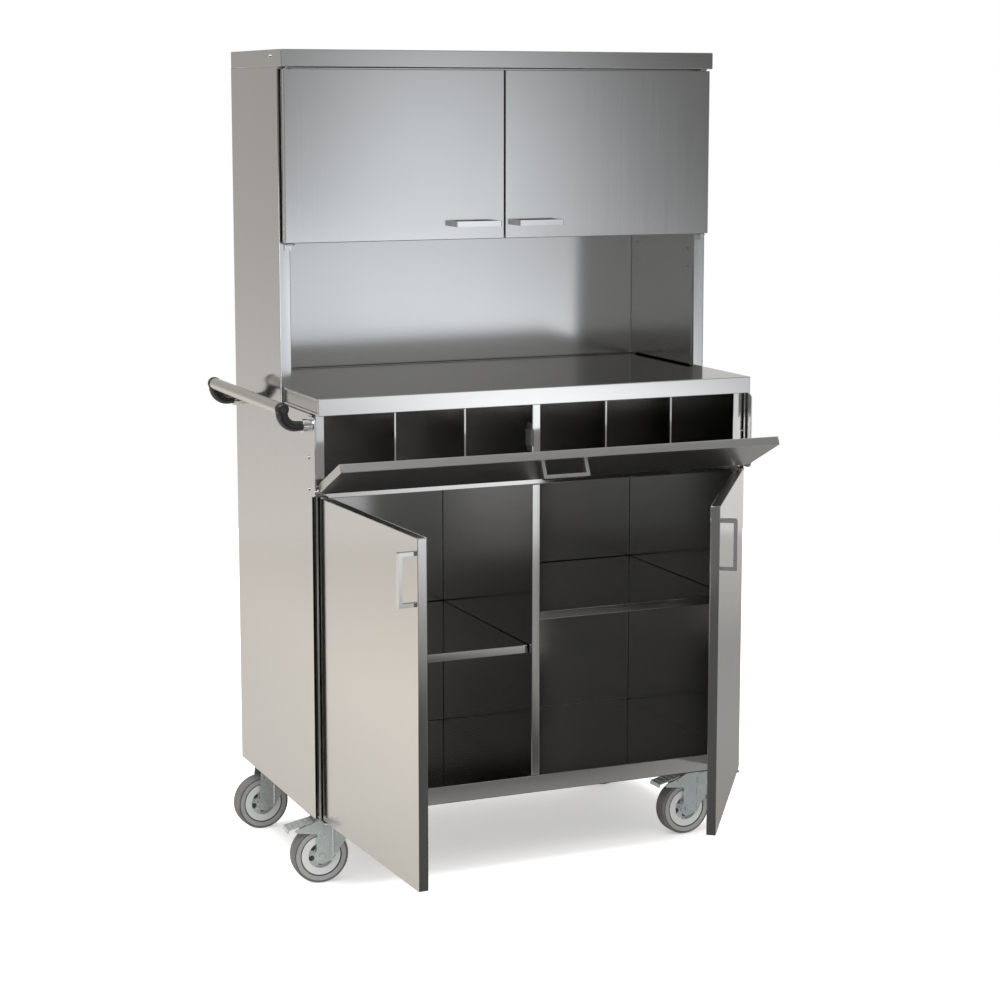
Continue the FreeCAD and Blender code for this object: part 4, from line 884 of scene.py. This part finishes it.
# share of the floor's brightness that is left behind the station, and where it falls off
FLOOR_BEHIND = 0.88
BEHIND_FADE = (1.2, 3.2)
# edges of the grey cloth: front, right and left
CLOTH_FRONT = (-1.0, -0.55)
CLOTH_RIGHT = (0.35, 0.9)
CLOTH_LEFT = (-2.5, -1.9)

# ---- the studio as the eye sees it, in metres
FLOOR_RADIUS = 4.0
FOOTPRINT = (0.45, 0.21)
SHADOW_FADE = 0.09
SHADE_GLOW, OPEN_GLOW = 0.40, 0.90
KEY_SIZE = (3.0, 2.2)
KEY_PLACE = (-1.6, -1.8, 3.6)
KEY_AIM = (0.0, 0.0, 0.7)

# ---- camera, in metres and degrees
CAMERA_PLACE = (-2.0637, -4.8353, 1.6822)
CAMERA_YAW, CAMERA_PITCH, CAMERA_ROLL = 23.326, 8.521, 0.021
CAMERA_SHIFT = -0.05
SENSOR_WIDTH = 36.0


class STATION_OT_studio(StationOperator):
    """Set up the pale floor, the soft light and the camera"""

    bl_idname = "station.studio"
    bl_label = "Studio"

    def execute(self, context):
        studio = context.scene.station_studio
        self.floor(studio)
        self.world(context, studio)
        self.lamps(context, studio)
        self.camera(context, studio)
        context.scene.view_settings.view_transform = "Standard"
        return {"FINISHED"}

    def floor(self, studio):
        """Pale floor, white far off, that keeps the station's shadow."""
        mesh = bmesh.new()
        bmesh.ops.create_circle(mesh, cap_ends=True, radius=FLOOR_RADIUS, segments=96)
        data = bpy.data.meshes.new("studio_floor")
        mesh.to_mesh(data)
        mesh.free()
        floor = bpy.data.objects.new("studio_floor", data)
        bpy.context.scene.collection.objects.link(floor)
        data.materials.append(self.floor_material(studio))

    def floor_material(self, studio):
        """The floor's own tone for the eye, and lanes and a grey cloth in front for the steel."""
        material, n = new_material("studio_floor")
        path = n.add("ShaderNodeLightPath")
        mirrored = n.math("MAXIMUM", path.outputs["Is Glossy Ray"], path.outputs["Is Transmission Ray"])
        place = n.add("ShaderNodeTexCoord").outputs["Object"]
        split = n.add("ShaderNodeSeparateXYZ", {"Vector": place})
        x, y = split.outputs["X"], split.outputs["Y"]
        beside, before = (
            n.math("MAXIMUM", n.math("SUBTRACT", n.math("ABSOLUTE", way), half), 0.0)
            for way, half in zip((x, y), FOOTPRINT)
        )
        away = n.math("ADD", n.math("MULTIPLY", beside, beside), n.math("MULTIPLY", before, before))
        far = n.ranged(n.math("SQRT", away), 0.0, SHADOW_FADE, 0.0, 1.0, True)
        cloth = n.ranged(y, *CLOTH_FRONT, 1.0, 0.0, True)
        cloth = n.math("MULTIPLY", cloth, n.ranged(x, *CLOTH_RIGHT, 1.0, 0.0, True))
        cloth = n.math("MULTIPLY", cloth, n.ranged(x, *CLOTH_LEFT, 0.0, 1.0, True))
        pale = tuple(studio.floor)
        tone = n.blend(n.noise(place, 3.0, 4.0), pale, lighter(pale, 1.02))
        lanes = [(metres / FLOOR_RADIUS / 2 + 0.5, level, warmth) for metres, level, warmth in FLOOR_LANES]
        lane = n.ramp(n.ranged(x, -FLOOR_RADIUS, FLOOR_RADIUS, 0.0, 1.0), lanes)
        lane = n.blend(n.ranged(y, *BEHIND_FADE, 0.0, 1.0), lane, (FLOOR_BEHIND,) * 3, "MULTIPLY")
        tone = n.blend(mirrored, tone, n.blend(1.0, tone, lane, "MULTIPLY"))
        tone = n.blend(n.math("MULTIPLY", cloth, mirrored), tone, tuple(studio.cloth))
        matt = n.add("ShaderNodeBsdfDiffuse", {"Color": tone})
        brightness = n.add_share(far, OPEN_GLOW - SHADE_GLOW, SHADE_GLOW)
        lift = n.math("MULTIPLY", path.outputs["Is Camera Ray"], brightness)
        glow = n.add("ShaderNodeEmission", {"Color": (1, 1, 1, 1), "Strength": lift})
        both = n.add("ShaderNodeAddShader", {0: matt.outputs["BSDF"], 1: glow.outputs["Emission"]})
        n.surface(both.outputs["Shader"])
        return material

    def world(self, context, studio):
        """White backdrop for the eye, a soft studio for the steel to mirror, even light for the rest."""
        world = bpy.data.worlds.new("studio_world")
        world.use_nodes = True
        context.scene.world = world
        n = Nodes(world.node_tree)
        path = n.add("ShaderNodeLightPath")
        glossy = n.math("MAXIMUM", path.outputs["Is Glossy Ray"], path.outputs["Is Transmission Ray"])
        even = n.add("ShaderNodeBackground", {"Color": (1, 1, 1, 1), "Strength": studio.soft_light})
        soft = n.add("ShaderNodeBackground", {"Color": self.mirrored_walls(n), "Strength": 1.0})
        white = n.add("ShaderNodeBackground", {"Color": (1, 1, 1, 1), "Strength": 1.0})
        lit = n.add("ShaderNodeMixShader", {0: glossy, 1: even.outputs[0], 2: soft.outputs[0]})
        seen = {0: path.outputs["Is Camera Ray"], 1: lit.outputs[0], 2: white.outputs[0]}
        n.add("ShaderNodeOutputWorld", {"Surface": n.add("ShaderNodeMixShader", seen).outputs[0]})

    def mirrored_walls(self, n):
        """Walls, soft boxes and ceiling, by the direction that a ray leaves in."""
        way = n.add("ShaderNodeTexCoord").outputs["Generated"]
        split = n.add("ShaderNodeSeparateXYZ", {"Vector": way})
        x, y, z = (split.outputs[k] for k in "XYZ")
        turn = n.math("MULTIPLY", n.math("ARCTAN2", x, n.math("MULTIPLY", y, -1.0)), 180 / math.pi)
        walls = [((degrees + 180) / 360, level, warmth) for degrees, level, warmth in WALLS]
        walls.append((1.0, *walls[0][1:]))
        light = n.ramp(n.ranged(turn, -180.0, 180.0, 0.0, 1.0), walls)
        for degrees, height, half_width, half_height, level, warmth in SOFT_BOXES:
            across = n.math("WRAP", n.math("SUBTRACT", turn, degrees), 180.0, -180.0)
            across = n.math("DIVIDE", across, half_width)
            up = n.math("DIVIDE", n.math("SUBTRACT", z, height), half_height)
            fall = n.add_share(up, up, n.math("MULTIPLY", across, across))
            fall = n.math("EXPONENT", n.math("MULTIPLY", fall, -1.0))
            light = n.blend(fall, light, tinted(level, warmth), "ADD")
        return n.blend(n.ranged(z, *CEILING_FADE, 0.0, 1.0), light, (CEILING,) * 3, "ADD")

    def lamps(self, context, studio):
        """One large lamp overhead, to the front left."""
        lamp = bpy.data.lights.new("key_lamp", "AREA")
        lamp.shape = "RECTANGLE"
        lamp.size, lamp.size_y = KEY_SIZE
        lamp.energy = studio.key_power
        key = bpy.data.objects.new("key_lamp", lamp)
        key.location = KEY_PLACE
        key.rotation_euler = (Vector(KEY_AIM) - key.location).to_track_quat("-Z", "Y").to_euler()
        context.scene.collection.objects.link(key)

    def camera(self, context, studio):
        """Camera at the front left, looking slightly down."""
        eye = bpy.data.cameras.new("camera")
        eye.sensor_fit = "HORIZONTAL"
        eye.sensor_width = SENSOR_WIDTH
        eye.lens = studio.lens
        eye.shift_y = CAMERA_SHIFT
        eye.clip_end = 100.0
        camera = bpy.data.objects.new("camera", eye)
        yaw, pitch, roll = (math.radians(angle) for angle in (CAMERA_YAW, CAMERA_PITCH, CAMERA_ROLL))
        camera.matrix_world = (
            Matrix.Translation(CAMERA_PLACE)
            @ Matrix.Rotation(-yaw, 4, "Z")
            @ Matrix.Rotation(math.pi / 2 - pitch, 4, "X")
            @ Matrix.Rotation(roll, 4, "Z")
        )
        context.scene.collection.objects.link(camera)
        context.scene.camera = camera


class STATION_PT_panel(bpy.types.Panel):
    """Lists the station's pieces, finishes and studio."""

    bl_idname = "STATION_PT_panel"
    bl_label = "Waiter service station"
    bl_space_type = "VIEW_3D"
    bl_region_type = "UI"
    bl_category = "Station"

    def draw(self, context):
        layout, scene = self.layout, context.scene
        for group in (scene.station_sizes, scene.station_finishes, scene.station_studio):
            box = layout.box()
            for name in group.__annotations__:
                box.prop(group, name)
        for operator in OPERATORS:
            layout.operator(operator.bl_idname)


OPERATORS = (
    STATION_OT_carcass,
    STATION_OT_doors,
    STATION_OT_flap,
    STATION_OT_fittings,
    STATION_OT_push_handle,
    STATION_OT_castors,
    STATION_OT_studio,
)
CLASSES = (StationSizes, StationFinishes, StationStudio, *OPERATORS, STATION_PT_panel)


def register():
    for item in CLASSES:
        bpy.utils.register_class(item)
    bpy.types.Scene.station_sizes = PointerProperty(type=StationSizes)
    bpy.types.Scene.station_finishes = PointerProperty(type=StationFinishes)
    bpy.types.Scene.station_studio = PointerProperty(type=StationStudio)


def unregister():
    for name in ("station_sizes", "station_finishes", "station_studio"):
        delattr(bpy.types.Scene, name)
    for item in reversed(CLASSES):
        bpy.utils.unregister_class(item)


def main():
    register()
    for operator in OPERATORS:
        group, name = operator.bl_idname.split(".")
        getattr(getattr(bpy.ops, group), name)()


if __name__ == "__main__":
    main()
